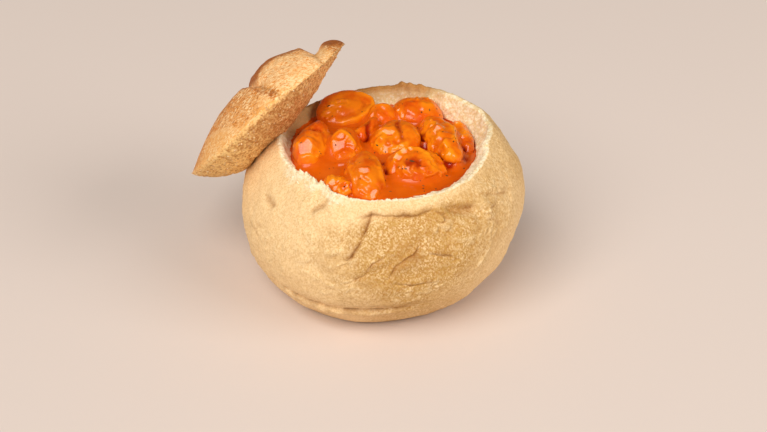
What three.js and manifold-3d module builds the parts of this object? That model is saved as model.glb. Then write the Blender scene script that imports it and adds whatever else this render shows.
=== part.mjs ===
// Stew in a hollowed round loaf, with the cut-off top of the loaf leaning on the rim.
// Millimetres, +Z up. The origin is the middle of the loaf's flat base.
import * as THREE from 'three';
import { mergeVertices } from 'three/addons/utils/BufferGeometryUtils.js';
import Module from 'manifold-3d';

// Loaf: a flattened ball that leans, flat below and cut open above
const LOAF_RADIUS = 70;
const LOAF_HALF_HEIGHT = 55.6;
const LOAF_CENTRE_HEIGHT = 41.5;
const LOAF_LEAN = 8.4; // degrees, lifts the +X side
const LOAF_LUMP = { height: 0.7, length: 62, phase: 0.4 };

// Cut edge of the crust: [azimuth in degrees, height]
const RIM_HEIGHTS = [
  [-180, 76], [-166, 77], [-147, 75.8], [-130, 77.2], [-105, 74.5], [-72, 75.3], [-48, 76.5],
  [-24, 78], [-10, 80], [16, 79.5], [50, 81.5], [70, 80], [88, 75.5], [106, 74.5], [125, 73],
  [152, 75],
];
const CRUST_THICKNESS = 1.4;
const RIM_LIP = 0.4; // the crumb stands this much above the crust's edge
const CRUMB_HOLLOW = 0.9;
const CRUMB_LUMP = { height: 0.8, length: 23, phase: 1.3 };

// Creases and dents of the crust: [azimuth in degrees, height above the loaf's middle] at each end
const CREASES = [
  { from: [-92, 29], to: [-64, 24], depth: 2.0, width: 3.2 },
  { from: [-92, 28], to: [-102, 12], depth: 1.6, width: 3.2 },
  { from: [-73, 13], to: [-102, 0], depth: 1.2, width: 3.0 },
  { from: [-57, 24], to: [-45, 15], depth: 2.6, width: 3.6 },
  { from: [-36, 18], to: [-23, 11], depth: 1.2, width: 3.0 },
  { from: [-147, 28], to: [-145, 27], depth: 1.8, width: 3.4 },
  { from: [-118, 7], to: [-114, 5], depth: 1.8, width: 3.6 },
  { from: [-117, 35], to: [-112, 31], depth: 1.8, width: 3.0 },
  { from: [-144, -16], to: [-76, -23], depth: 2.2, width: 3.2 },
];

// Hollow of the loaf, and the stew in it
const STEW_LEVEL = 69.5;
const STEW_HEAP = 1.6;
const STEW_LUMP = { height: 0.4, length: 31, phase: 2 };
const MOUTH_RADIUS = 45;
const MOUTH_WAVE = 0.8;
const HOLLOW_RADIUS = 48;
const HOLLOW_MIDDLE = 44;
const HOLLOW_FLOOR = 16;
const HOLLOW_SQUARENESS = 0.75;
const GAP = 0.35;
const ROOM_TOP = 100;

// Lid: the cap of the loaf, its crumb side turned to the right, the front and down
const LID_RADIUS = 49.6;
const LID_CRUST_HEIGHT = 16.4;
const LID_CRUMB_DEPTH = 13.5;
const LID_CRUMB_SLOPE = 0.139; // the crumb is deeper towards the -X end
const LID_EDGE_STEP = { height: 1.7, place: 16.4, length: 8.2 }; // the crust's edge steps down along the lid
const LID_BLUNTNESS = 0.8;
const LID_BLUNTNESS_SWING = 0.3; // the +X end is the blunter one
const LID_CENTRE = [-56.7, 27.7, 77.6];
const LID_CRUMB_NORMAL = [0.668, -0.311, -0.676];
const LID_LONG_AXIS = [0.741, 0.361, 0.566];
const LID_LUMP = { height: 0.9, length: 27.6, phase: 0.7 };
// How far out of round the lid is: waves round its edge, as shares of the radius
const LID_WAVES = [{ count: 2, height: 0.016, phase: 0.5 }, { count: 5, height: 0.01, phase: 0 }];
// Baker's slashes: where each crosses the top along the long axis, and the ear of crust beside it
const LID_SLASHES = [
  { across: -0.8, slant: 0.2, depth: 4.9, near: 3.4, far: 3.4, ear: 2.8 },
  { across: 34.5, slant: 0, depth: 13, near: 2.2, far: 9, ear: 0 },
];
const EAR_OFFSET = 18.5;
const EAR_WIDTH = 12;

// Mesh fineness
const BOWL_SECTORS = 80;
const STEW_SECTORS = 36;
const LID_SECTORS = 58;
const OUTSIDE_ROWS = 15;
const BASE_ROW = 0.5; // shares of the way across or along each form where its rows of points lie
const CRUMB_ROWS = [0.36, 0.7];
const STEW_TOP_ROWS = [0.88, 0.66, 0.44, 0.22];
const LID_CRUMB_ROWS = [0.28, 0.52, 0.74, 0.9];
const LID_CRUST_ROWS = [0.98, 0.92, 0.83, 0.72, 0.6, 0.46, 0.31, 0.15];
const HOLLOW_TURNS = [0, 24, 46, 68]; // degrees round the hollow's lower corner
const PIECE_DETAIL = 3;
const SMALL_PIECE_DETAIL = 2;

// Pieces of the stew: middle, half sizes along its own axes, turns about X, Y and Z in degrees,
// how rough it is for its size, and swells: a direction, how far they push the surface out of its
// round shape or into it, and their spread in radians
const PIECE_LUMP_LENGTH = 1.5;
const PIECES = [
  {
    name: 'piece_front', at: [-8, -29.4, 69.5], half: [9.8, 16.6, 10.8], turn: [6, 0, 8], rough: 0.05,
    swells: [[0.3, 0.8, 0.5, 0.12, 0.5], [-0.5, -0.6, 0.6, -0.1, 0.5]],
  },
  {
    name: 'piece_front_right', at: [14.8, -19.2, 70], half: [14, 12.5, 9.6], turn: [0, 0, -8], rough: 0.07,
    swells: [[0.9, -0.3, 0.2, 0.14, 0.4], [-0.6, -0.6, 0.4, -0.1, 0.4]],
  },
  {
    name: 'piece_right', at: [28.8, 5.6, 71], half: [8.6, 20.6, 9.6], turn: [-5, 0, 14], rough: 0.08,
    swells: [[0.35, -0.9, 0.1, 0.18, 0.35], [-0.8, 0.1, 0.5, -0.1, 0.4]],
  },
  {
    name: 'piece_left', at: [-34, -0.4, 70], half: [9, 15.2, 10.6], turn: [4, 0, -12], rough: 0.06,
    swells: [[0.05, 0.85, 0.6, 0.24, 0.3], [0.2, 0.5, 0.8, -0.1, 0.3]],
  },
  {
    name: 'piece_middle_left', at: [-18, -1, 70], half: [8.8, 12, 9.4], turn: [0, 6, 10], rough: 0.05,
    swells: [[0.3, 0.5, 0.8, 0.1, 0.5]],
  },
  {
    name: 'piece_middle', at: [6.6, 4.2, 70.5], half: [13, 14, 10], turn: [0, -6, 4], rough: 0.07,
    swells: [[0.5, 0.3, 0.8, 0.12, 0.4], [-0.1, -0.3, 0.9, -0.12, 0.35]],
  },
  {
    name: 'piece_back_left', at: [-18.2, 33.6, 73.6], half: [15.2, 12, 5], turn: [20, -6, 16], rough: 0.03,
    swells: [[0, 0, 1, -0.22, 0.7]],
  },
  {
    name: 'piece_back_right', at: [17.6, 31.6, 71.5], half: [12.8, 10.4, 8.6], turn: [0, 4, -12],
    rough: 0.04, swells: [[0.2, 0.1, 0.9, 0.08, 0.5]],
  },
  {
    name: 'piece_back', at: [0.6, 28.4, 71], half: [8, 8.6, 7.4], turn: [0, 0, 10],
    rough: 0.04, small: true, swells: [[0.1, 0.2, 0.9, 0.1, 0.5]],
  },
  {
    name: 'piece_fold', at: [-7.6, 13.6, 70.5], half: [4.2, 11.2, 8.6], turn: [0, 16, -24],
    rough: 0.03, small: true, swells: [[-0.4, 0, 0.9, 0.12, 0.5]],
  },
  {
    name: 'piece_front_left', at: [-20.6, -35.6, 69.8], half: [7.4, 6.4, 5.2], turn: [0, 0, -30],
    rough: 0.1, small: true, swells: [[-0.3, 0.2, 0.9, 0.1, 0.4]],
  },
  {
    name: 'piece_right_low', at: [39.2, 12, 69.5], half: [5, 15, 4.8], turn: [0, -6, 12],
    rough: 0.04, small: true, swells: [[0, 0.3, 0.9, 0.08, 0.5]],
  },
];

const CRUST = { color: 0xd9ab68, roughness: 0.85, metalness: 0 };
const LID_CRUST = { color: 0xd99a55, roughness: 0.8, metalness: 0 };
const SAUCE = { color: 0xdd5c0a, roughness: 0.2, metalness: 0 };
const COATED = { color: 0xec7d2a, roughness: 0.25, metalness: 0 };

const wasm = await Module();
wasm.setup();
const radians = THREE.MathUtils.degToRad;
const intoLoaf = new THREE.Matrix4().makeRotationY(radians(LOAF_LEAN));

// A smooth unevenness of one height, wavelength and phase
function lump(point, { height, length, phase }) {
  const k = 2 * Math.PI / length;
  const first = Math.sin(k * (point.x + 0.6 * point.y) + phase);
  const second = Math.sin(k * (point.y - 0.5 * point.z) + 1.7 * phase + 1);
  const third = Math.sin(k * (point.z + 0.7 * point.x) + 2.3 * phase + 2);
  return height * (first + second + third) / 3;
}

// Height of the crust's cut edge, eased between the listed azimuths
function rimHeight(azimuth) {
  const turn = THREE.MathUtils.euclideanModulo(THREE.MathUtils.radToDeg(azimuth) + 180, 360) - 180;
  const count = RIM_HEIGHTS.length;
  let index = count - 1;
  while (RIM_HEIGHTS[index][0] > turn) {
    index -= 1;
  }
  const [startTurn, startHeight] = RIM_HEIGHTS[index];
  const [nextTurn, nextHeight] = RIM_HEIGHTS[(index + 1) % count];
  const span = THREE.MathUtils.euclideanModulo(nextTurn - startTurn, 360);
  const share = THREE.MathUtils.smoothstep((turn - startTurn) / span, 0, 1);
  return THREE.MathUtils.lerp(startHeight, nextHeight, share);
}

// How far the creases draw the crust in at one place of the loaf
function creaseDepth(azimuth, height) {
  let depth = 0;
  for (const crease of CREASES) {
    const start = new THREE.Vector2(radians(crease.from[0]) * LOAF_RADIUS, crease.from[1]);
    const along = new THREE.Vector2(radians(crease.to[0]) * LOAF_RADIUS, crease.to[1]).sub(start);
    const here = new THREE.Vector2(azimuth * LOAF_RADIUS, height).sub(start);
    const share = THREE.MathUtils.clamp(here.dot(along) / along.lengthSq(), 0, 1);
    const distance = here.distanceTo(along.multiplyScalar(share));
    depth += crease.depth * Math.exp(-((distance / crease.width) ** 2));
  }
  return depth;
}

// The loaf's surface in one direction from its middle
function loafPoint(azimuth, elevation, grow) {
  const direction = new THREE.Vector3(Math.cos(azimuth), Math.sin(azimuth), Math.tan(elevation)).normalize();
  const local = direction.clone().applyMatrix4(intoLoaf);
  const reach = 1 / Math.hypot(local.x / LOAF_RADIUS, local.y / LOAF_RADIUS, local.z / LOAF_HALF_HEIGHT);
  local.multiplyScalar(reach);
  const relief = lump(local, LOAF_LUMP) - creaseDepth(Math.atan2(local.y, local.x), local.z);
  const point = direction.multiplyScalar(reach + relief + grow);
  point.z += LOAF_CENTRE_HEIGHT;
  return point;
}

// The elevation at which the loaf's surface passes one height
function loafElevation(azimuth, height) {
  let low = radians(-80);
  let high = radians(80);
  for (let step = 0; step < 24; step += 1) {
    const middle = (low + high) / 2;
    if (loafPoint(azimuth, middle, 0).z < height) {
      low = middle;
    } else {
      high = middle;
    }
  }
  return (low + high) / 2;
}

function ringPoint(azimuth, radius, height) {
  return new THREE.Vector3(radius * Math.cos(azimuth), radius * Math.sin(azimuth), height);
}

// A closed skin over rings of points, from a pole at the first ring to a pole at the last
function closedLoft(rings, firstPole, lastPole) {
  const sectors = rings[0].length;
  const points = [firstPole, ...rings.flat(), lastPole];
  const last = points.length - 1;
  const corner = (row, sector) => 1 + row * sectors + sector % sectors;
  const index = [];
  for (let sector = 0; sector < sectors; sector += 1) {
    index.push(0, corner(0, sector + 1), corner(0, sector));
    index.push(corner(rings.length - 1, sector), corner(rings.length - 1, sector + 1), last);
    for (let row = 0; row + 1 < rings.length; row += 1) {
      const a = corner(row, sector);
      const b = corner(row, sector + 1);
      const c = corner(row + 1, sector + 1);
      const d = corner(row + 1, sector);
      index.push(a, b, c, a, c, d);
    }
  }
  const geometry = new THREE.BufferGeometry().setFromPoints(points);
  geometry.setIndex(index);
  return geometry;
}

// Turns columns of points, one for each sector, into rings
function ringsFromColumns(columns) {
  return columns[0].map((_, row) => columns.map((column) => column[row]));
}

function sectorAzimuths(sectors) {
  return Array.from({ length: sectors }, (_, sector) => 2 * Math.PI * sector / sectors);
}

// The hollow's wall at one azimuth, from the stew's level down to near the floor's middle
function hollowColumn(azimuth, inset) {
  const mouth = MOUTH_RADIUS + MOUTH_WAVE * Math.sin(3 * azimuth + 1);
  const column = [
    ringPoint(azimuth, mouth - inset, STEW_LEVEL),
    ringPoint(azimuth, (mouth + HOLLOW_RADIUS) / 2 - inset, (STEW_LEVEL + HOLLOW_MIDDLE) / 2),
  ];
  for (const turn of HOLLOW_TURNS.map(radians)) {
    const radius = HOLLOW_RADIUS * Math.cos(turn) ** HOLLOW_SQUARENESS;
    const drop = (HOLLOW_MIDDLE - HOLLOW_FLOOR) * Math.sin(turn) ** HOLLOW_SQUARENESS;
    column.push(ringPoint(azimuth, radius - inset, HOLLOW_MIDDLE - drop + inset));
  }
  return column;
}

// The torn crumb that slopes from the crust's edge down to the stew
function crumbColumn(azimuth, edge) {
  const radius = Math.hypot(edge.x, edge.y);
  const foot = hollowColumn(azimuth, 0)[0];
  const shoulder = ringPoint(azimuth, radius - 2 * CRUST_THICKNESS, edge.z - RIM_LIP);
  const column = [ringPoint(azimuth, radius - CRUST_THICKNESS, edge.z + RIM_LIP), shoulder];
  for (const share of CRUMB_ROWS) {
    const point = shoulder.clone().lerp(foot, share);
    point.z += lump(point, CRUMB_LUMP) - CRUMB_HOLLOW * Math.sin(Math.PI * share);
    column.push(point);
  }
  return column;
}

// The crust at one azimuth, from the base up to the cut edge
function outsideColumn(azimuth, grow) {
  const low = loafElevation(azimuth, 0);
  const high = loafElevation(azimuth, rimHeight(azimuth));
  const column = [];
  for (let row = 0; row <= OUTSIDE_ROWS; row += 1) {
    column.push(loafPoint(azimuth, THREE.MathUtils.lerp(low, high, row / OUTSIDE_ROWS), grow));
  }
  return column;
}

function bowlShape() {
  const columns = sectorAzimuths(BOWL_SECTORS).map((azimuth) => {
    const outside = outsideColumn(azimuth, 0);
    outside[0].z = 0;
    const base = outside[0].clone().multiplyScalar(BASE_ROW);
    const crumb = crumbColumn(azimuth, outside[OUTSIDE_ROWS]);
    return [base, ...outside, ...crumb, ...hollowColumn(azimuth, 0)];
  });
  const floorMiddle = new THREE.Vector3(0, 0, HOLLOW_FLOOR);
  return closedLoft(ringsFromColumns(columns), new THREE.Vector3(), floorMiddle);
}

// The loaf with its mouth filled, a little larger all round: the space that the lid keeps out of
function bowlKeepOut() {
  const columns = sectorAzimuths(BOWL_SECTORS).map((azimuth) => {
    const outside = outsideColumn(azimuth, GAP);
    const edge = outside[OUTSIDE_ROWS];
    const radius = Math.hypot(edge.x, edge.y) - CRUST_THICKNESS;
    return [...outside, ringPoint(azimuth, radius, edge.z + RIM_LIP + GAP)];
  });
  const topMiddle = new THREE.Vector3(0, 0, rimHeight(0));
  return closedLoft(ringsFromColumns(columns), new THREE.Vector3(), topMiddle);
}

// The room inside the loaf and above its mouth, a gap clear of the crumb: what the pieces keep to
function bowlRoom() {
  const columns = sectorAzimuths(BOWL_SECTORS).map((azimuth) => {
    const crumb = crumbColumn(azimuth, outsideColumn(azimuth, 0)[OUTSIDE_ROWS]).reverse();
    const slope = crumb.map((point) => {
      const radius = Math.hypot(point.x, point.y) - GAP;
      return ringPoint(azimuth, radius, point.z + GAP);
    });
    const wall = hollowColumn(azimuth, GAP).reverse();
    return [...wall, ...slope, slope[slope.length - 1].clone().setZ(ROOM_TOP)];
  });
  const floorMiddle = new THREE.Vector3(0, 0, HOLLOW_FLOOR + GAP);
  return closedLoft(ringsFromColumns(columns), floorMiddle, new THREE.Vector3(0, 0, ROOM_TOP));
}

function sauceShape() {
  const columns = sectorAzimuths(STEW_SECTORS).map((azimuth) => {
    const wall = hollowColumn(azimuth, GAP).reverse();
    const edge = wall[wall.length - 1];
    const top = STEW_TOP_ROWS.map((share) => {
      const point = edge.clone().multiplyScalar(share);
      point.z = STEW_LEVEL + STEW_HEAP * (1 - share * share) + lump(point, STEW_LUMP);
      return point;
    });
    return [...wall, ...top];
  });
  const floorMiddle = new THREE.Vector3(0, 0, HOLLOW_FLOOR + GAP);
  const topMiddle = new THREE.Vector3(0, 0, STEW_LEVEL + STEW_HEAP);
  return closedLoft(ringsFromColumns(columns), floorMiddle, topMiddle);
}

// A lumpy piece of the stew, grown by a clearance where it makes a pocket
function pieceShape(piece, grow) {
  const ball = new THREE.IcosahedronGeometry(1, piece.small ? SMALL_PIECE_DETAIL : PIECE_DETAIL);
  ball.deleteAttribute('normal');
  ball.deleteAttribute('uv');
  const geometry = mergeVertices(ball);
  const position = geometry.getAttribute('position');
  const half = new THREE.Vector3(...piece.half).addScalar(grow);
  for (let vertex = 0; vertex < position.count; vertex += 1) {
    const direction = new THREE.Vector3().fromBufferAttribute(position, vertex).normalize();
    let reach = 1 + lump(direction, { height: piece.rough, length: PIECE_LUMP_LENGTH, phase: piece.at[0] });
    for (const [x, y, z, rise, spread] of piece.swells) {
      const angle = direction.angleTo(new THREE.Vector3(x, y, z));
      reach += rise * Math.exp(-((angle / spread) ** 2));
    }
    direction.multiplyScalar(reach).multiply(half);
    position.setXYZ(vertex, direction.x, direction.y, direction.z);
  }
  const [turnX, turnY, turnZ] = piece.turn.map(radians);
  geometry.rotateX(turnX).rotateY(turnY).rotateZ(turnZ);
  return geometry.translate(...piece.at);
}

// Height of the lid's crust edge above the plane it was cut in
function lidEdgeHeight(x) {
  return -LID_EDGE_STEP.height * Math.tanh((x - LID_EDGE_STEP.place) / LID_EDGE_STEP.length);
}

// Height of the lid's crust, in the lid's own frame: the slashes fade out towards its edge
function lidCrustHeight(x, y, azimuth, share) {
  const bluntness = LID_BLUNTNESS - LID_BLUNTNESS_SWING * Math.cos(azimuth);
  const rise = (1 - share * share) ** bluntness;
  let height = lidEdgeHeight(x) * share + LID_CRUST_HEIGHT * rise;
  for (const slash of LID_SLASHES) {
    const offset = x - slash.across + slash.slant * y;
    const width = offset < 0 ? slash.near : slash.far;
    height -= rise * rise * slash.depth * Math.exp(-((offset / width) ** 2));
    height += rise * slash.ear * Math.exp(-(((offset - EAR_OFFSET) / EAR_WIDTH) ** 2));
  }
  return height;
}

function lidRadius(azimuth) {
  let share = 1;
  for (const wave of LID_WAVES) {
    share += wave.height * Math.sin(wave.count * azimuth + wave.phase);
  }
  return LID_RADIUS * share;
}

function lidShape() {
  const columns = sectorAzimuths(LID_SECTORS).map((azimuth) => {
    const radius = lidRadius(azimuth);
    const column = [];
    for (const share of LID_CRUMB_ROWS) {
      const point = ringPoint(azimuth, radius * share, 0);
      const depth = LID_CRUMB_DEPTH - LID_CRUMB_SLOPE * point.x;
      point.z = lump(point, LID_LUMP) - depth * (1 - share ** 3);
      column.push(point);
    }
    const edge = ringPoint(azimuth, radius, 0);
    edge.z = lidEdgeHeight(edge.x);
    column.push(edge);
    for (const share of LID_CRUST_ROWS) {
      const point = ringPoint(azimuth, radius * share, 0);
      point.z = lidCrustHeight(point.x, point.y, azimuth, share);
      column.push(point);
    }
    return column;
  });
  const crumbMiddle = new THREE.Vector3(0, 0, -LID_CRUMB_DEPTH);
  const topMiddle = new THREE.Vector3(0, 0, lidCrustHeight(0, 0, 0, 0));
  return closedLoft(ringsFromColumns(columns), crumbMiddle, topMiddle);
}

// The lid's frame: +Z out of the crust, +X along its long axis as seen from the front
function lidPlacement() {
  const up = new THREE.Vector3(...LID_CRUMB_NORMAL).normalize().negate();
  const across = up.clone().cross(new THREE.Vector3(...LID_LONG_AXIS)).normalize();
  const along = across.clone().cross(up);
  return new THREE.Matrix4().makeBasis(along, across, up).setPosition(...LID_CENTRE);
}

function solidOf(geometry) {
  const vertProperties = new Float32Array(geometry.getAttribute('position').array);
  const triVerts = new Uint32Array(geometry.index.array);
  return new wasm.Manifold(new wasm.Mesh({ numProp: 3, vertProperties, triVerts }));
}

function geometryOf(solid) {
  const { vertProperties, triVerts } = solid.getMesh();
  const geometry = new THREE.BufferGeometry();
  geometry.setAttribute('position', new THREE.BufferAttribute(vertProperties, 3));
  geometry.setIndex(new THREE.BufferAttribute(triVerts, 1));
  return geometry;
}

function namedMesh(name, geometry, finish) {
  geometry.computeVertexNormals();
  const mesh = new THREE.Mesh(geometry, new THREE.MeshStandardMaterial(finish));
  mesh.name = name;
  return mesh;
}

const stew = new THREE.Group();
stew.add(namedMesh('bread_bowl', bowlShape(), CRUST));

const lid = solidOf(lidShape().applyMatrix4(lidPlacement())).subtract(solidOf(bowlKeepOut()));
stew.add(namedMesh('bread_lid', geometryOf(lid), LID_CRUST));

// Each piece gives way to those listed before it, and the sauce to all of them
let sauce = solidOf(sauceShape());
const room = solidOf(bowlRoom());
const pockets = [];
for (const piece of PIECES) {
  let solid = solidOf(pieceShape(piece, 0)).intersect(room);
  for (const pocket of pockets) {
    solid = solid.subtract(pocket);
  }
  stew.add(namedMesh(piece.name, geometryOf(solid), COATED));
  const pocket = solidOf(pieceShape(piece, GAP));
  pockets.push(pocket);
  sauce = sauce.subtract(pocket);
}
stew.add(namedMesh('stew_sauce', geometryOf(sauce), SAUCE));

export default stew;
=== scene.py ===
import math

import bmesh
import bpy
import numpy as np
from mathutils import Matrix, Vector
from mathutils.bvhtree import BVHTree


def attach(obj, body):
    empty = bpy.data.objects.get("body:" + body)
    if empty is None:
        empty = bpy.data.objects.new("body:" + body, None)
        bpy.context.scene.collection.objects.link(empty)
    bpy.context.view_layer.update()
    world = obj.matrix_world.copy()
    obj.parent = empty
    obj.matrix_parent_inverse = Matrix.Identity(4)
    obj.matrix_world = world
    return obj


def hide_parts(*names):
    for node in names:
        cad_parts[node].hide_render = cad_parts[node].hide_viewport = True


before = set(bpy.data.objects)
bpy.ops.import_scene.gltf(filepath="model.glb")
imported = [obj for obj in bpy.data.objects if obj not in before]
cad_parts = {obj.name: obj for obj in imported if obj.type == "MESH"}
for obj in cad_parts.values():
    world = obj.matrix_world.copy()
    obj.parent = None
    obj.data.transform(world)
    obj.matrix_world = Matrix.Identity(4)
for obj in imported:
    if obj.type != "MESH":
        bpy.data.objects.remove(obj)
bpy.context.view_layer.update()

BODY = "root"
MM = 0.001

# Loaf, in millimetres and degrees: the form of its solid
LOAF_RADIUS = 70.0
LOAF_HALF_HEIGHT = 55.6
LOAF_CENTRE_HEIGHT = 41.5
LOAF_LEAN = 8.4
LOAF_LUMP = (0.7, 62.0, 0.4)  # a smooth unevenness: height, length, phase
# Cut edge of the crust: azimuth and height
RIM_HEIGHTS = [
    (-180, 76), (-166, 77), (-147, 75.8), (-130, 77.2), (-105, 74.5), (-72, 75.3), (-48, 76.5),
    (-24, 78), (-10, 80), (16, 79.5), (50, 81.5), (70, 80), (88, 75.5), (106, 74.5), (125, 73),
    (152, 75), (180, 76),
]
CRUST_THICKNESS = 1.4
RIM_LIP = 0.4
CRUMB_HOLLOW = 0.9
CRUMB_LUMP = (0.8, 23.0, 1.3)
# Soft dents of the crust: azimuth and height above the loaf's middle at both ends, depth, width
DENTS = [
    ((-92, 29), (-64, 24), 2.0, 3.2),
    ((-92, 28), (-102, 12), 1.6, 3.2),
    ((-73, 13), (-102, 0), 1.2, 3.0),
    ((-57, 24), (-45, 15), 2.6, 3.6),
    ((-36, 18), (-23, 11), 1.2, 3.0),
    ((-147, 28), (-145, 27), 1.8, 3.4),
    ((-118, 7), (-114, 5), 1.8, 3.6),
    ((-117, 35), (-112, 31), 1.8, 3.0),
    ((-144, -16), (-76, -23), 2.2, 3.2),
]
DENT_SHARE = 0.55  # the dough's skin bridges the deepest part of them
# Sharp creases in those dents: route, depth, width, lip on the left of the route, shade
CREASES = [
    ([(-97, 29), (-90, 28), (-78, 27.2), (-70, 25), (-63, 25)], 1.2, 0.55, 1.2, 1.0),
    ([(-89.5, 31), (-93.5, 23), (-99, 15), (-104, 9)], 1.1, 0.6, -1.1, 1.0),
    ([(-72, 14.5), (-77, 9), (-84, 5), (-89, -2)], 1.0, 0.55, 0.5, 1.0),
    ([(-85, 12), (-93, 8), (-96, 3), (-103, -1)], 0.8, 0.5, 0.5, 0.8),
    ([(-71, 8), (-67, 5), (-61, 2)], 0.6, 0.45, 0.3, 0.8),
    ([(-86, -4), (-79, -7), (-68, -8.5)], 0.6, 0.45, 0.35, 0.7),
    ([(-146, -14), (-134, -17.5), (-118, -20.5), (-100, -22), (-76, -23.5)], 1.7, 0.8, -1.0, 1.0),
    ([(-100, -18), (-88, -20), (-74, -18.5)], 0.45, 0.4, 0.3, 0.5),
    ([(-59, 24), (-52, 20.5), (-44, 16)], 1.9, 2.0, -0.7, 0.85),
    ([(-43, 16), (-37, 13), (-33, 12)], 0.5, 0.5, 0.3, 0.6),
    ([(-64, 25), (-60, 22), (-61, 18)], 0.6, 0.5, 0.6, 0.6),
    ([(-38, 20), (-30, 15), (-22, 11)], 0.5, 0.6, 0.3, 0.5),
    ([(-42, 11), (-38, 7), (-35, 2)], 0.4, 0.5, 0.2, 0.4),
    ([(-110, 35.5), (-114, 33), (-120, 30)], 0.8, 1.1, 0.4, 0.6),
    ([(-152, 28), (-146, 27.2), (-140, 28)], 0.8, 1.2, 0.4, 0.6),
]
CREASE_WANDER = (0.8, 6.0)  # how far creases wander off their routes, and over what length
LIP_REACH = 2.1  # how far a crease's raised lip reaches
ROLL_SHADE = 2.8  # and how far it is shaded underneath
# Small flakes of raised crust: azimuth, height above the loaf's middle, rise, spread, how pale
FLAKES = [
    (-62.5, 21.0, 1.2, 2.2, 0.0), (-65.5, 17.0, 0.9, 1.5, 0.9), (-60.5, 17.0, 0.9, 2.0, 0.2),
    (-63.0, 13.0, 0.5, 1.6, 0.2), (-30.0, 17.5, 0.6, 1.6, 0.2), (-27.0, 15.5, 0.5, 1.4, 0.2),
    (-70.0, -7.0, 0.5, 1.2, 0.6), (-120.0, 9.0, 0.5, 2.2, 0.3), (-17.0, 30.0, 0.4, 1.8, 0.6),
]
# Patches of fine raised wrinkles: middle, reach round the loaf and up it, slope, count
WRINKLE_PATCHES = [
    ((-112, 14), (11, 9), 0.6, 20), ((-110, -3), (9, 7), 0.35, 12), ((-128, 20), (8, 6), -0.3, 10),
    ((-58, 14), (7, 6), -0.8, 10), ((-80, -12), (10, 5), 0.1, 10), ((-140, 5), (9, 10), 1.4, 10),
    ((-36, 15), (9, 7), -0.7, 12), ((-50, -4), (9, 9), 0.9, 10), ((-120, 31), (9, 4), 0.5, 8),
]
WRINKLE_LINE = (0.5, 0.65)  # height and width of one of them
WRINKLE_SEED = 19
PLAIN_CREASES = 26  # short creases on the sides and the back
PLAIN_CREASE_SEED = 41
# Unevenness of the crust: height, length
CRUST_WAVE = (0.85, 15.0)
CRUST_WRINKLE = (0.24, 3.2)
TORN_RIM = (-150, -108)  # azimuths between which the cut is ragged
BROWNED_RIM = (66, 126)  # azimuths between which the cut edge is browned
LID_SHADOW_TURN = 138  # azimuth of the crumb behind the lid, painted browner as the lid's shadow
# Swells of the torn crumb: azimuth, share of the way down to the stew, height, spread
CRUMB_SWELLS = [(47, 0.5, 1.2, 5.0), (128, 0.4, 1.0, 6.0), (-12, 0.3, 0.9, 5.0)]
CRUMB_FLAP = (56, 0.42, 4.6, 9.0, 3.4)  # azimuth of its sharp edge, way down, rise, length, height
# Shreds that stand up from the rim: azimuth, height, width
RIM_FLAPS = [(79, 2.6, 2.2), (74, 1.4, 2.0), (67, 1.0, 3.0)]
RIM_RADIUS = 60.0  # where the unevenness round the rim is taken
FRONT_TOAST_AND_SHADE = (-76.0, 40.0)  # azimuth of the toasted front, its brown partly painted shade, and how far it reaches each way
PORE_SHADE = 150.0  # azimuth at which the painted shade in the crumb's pores is darkest, in the lid's shadow
BROWNER_CRUMB_TURN = 40.0  # azimuth about which the crumb is browner
LOOSE_CRUMB_BACK = 30.0  # loose crumb lies no farther back than this

# Hollow of the loaf, and the stew in it
STEW_LEVEL = 69.5
STEW_HEAP = 1.6  # how far the stew rises in the middle
STEW_LUMP = (0.4, 31.0, 2.0)
MOUTH_RADIUS = 45.0
MOUTH_WAVE = 0.8  # how far the hollow's mouth is out of round
HOLLOW_RADIUS = 48.0
HOLLOW_MIDDLE = 44.0
HOLLOW_FLOOR = 16.0
HOLLOW_SQUARENESS = 0.75
HOLLOW_TURNS = (0.0, 24.0, 46.0, 68.0)  # steps down the curve of its wall, in degrees
SAUCE_IN_CRUMB = 1.8
SAUCE_SPREAD = 3.4  # over this length the sauce evens out the steps between pieces
SAUCE_SINK = 0.7  # and lies this far below that even surface
DEEP_SPREAD = 4.0  # over this length the heap is evened out to tell how deep a crevice is
# Ridges of sauce: places along each, rise, width
SAUCE_RIDGES = [
    ([(-23, -13.5), (-20.5, -15.8), (-16, -16), (-12, -13)], 1.5, 1.2),
    ([(-28, 13), (-22, 13.6), (-16, 16.8)], 1.3, 1.1),
    ([(33, 21), (38, 15), (41, 6)], 0.6, 1.6),
    ([(-9, -43), (-3, -46), (4, -44)], 0.4, 1.4),
    ([(22, -34), (30, -28), (36, -21)], 0.35, 1.6),
]
# Crevices that stay open, with painted shade in them: place, spread
DEEP_SPOTS = [
    (-6.5, 18, 3.0), (-8.5, 6, 3.0), (20.4, 5, 3.0), (20.6, -2, 3.0), (0.2, -16, 2.6), (1.6, -24, 2.6),
    (27.5, -12.5, 3.0), (32, -17, 3.2), (3, 41, 4.0), (-38, 27, 5.0), (-21, -45, 3.6), (41, -10, 3.6),
    (41, -1, 2.4), (42, -19, 4.0),
]

# Lid: the cap of the loaf
LID_RADIUS = 49.6
LID_CRUST_HEIGHT = 16.4
LID_CRUMB_DEPTH = 13.5
LID_CRUMB_SLOPE = 0.139
LID_EDGE_STEP = (1.7, 16.4, 8.2)  # height, place and length of the step in its edge
LID_BLUNTNESS = 0.8
LID_BLUNTNESS_SWING = 0.3
LID_CENTRE = np.array([-56.7, 27.7, 77.6])
LID_CRUMB_NORMAL = np.array([0.668, -0.311, -0.676])
LID_LONG_AXIS = np.array([0.741, 0.361, 0.566])
LID_LUMP = (0.9, 27.6, 0.7)
LID_WAVES = [(2, 0.016, 0.5), (5, 0.01, 0.0)]  # round its outline: count, height, phase
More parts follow.
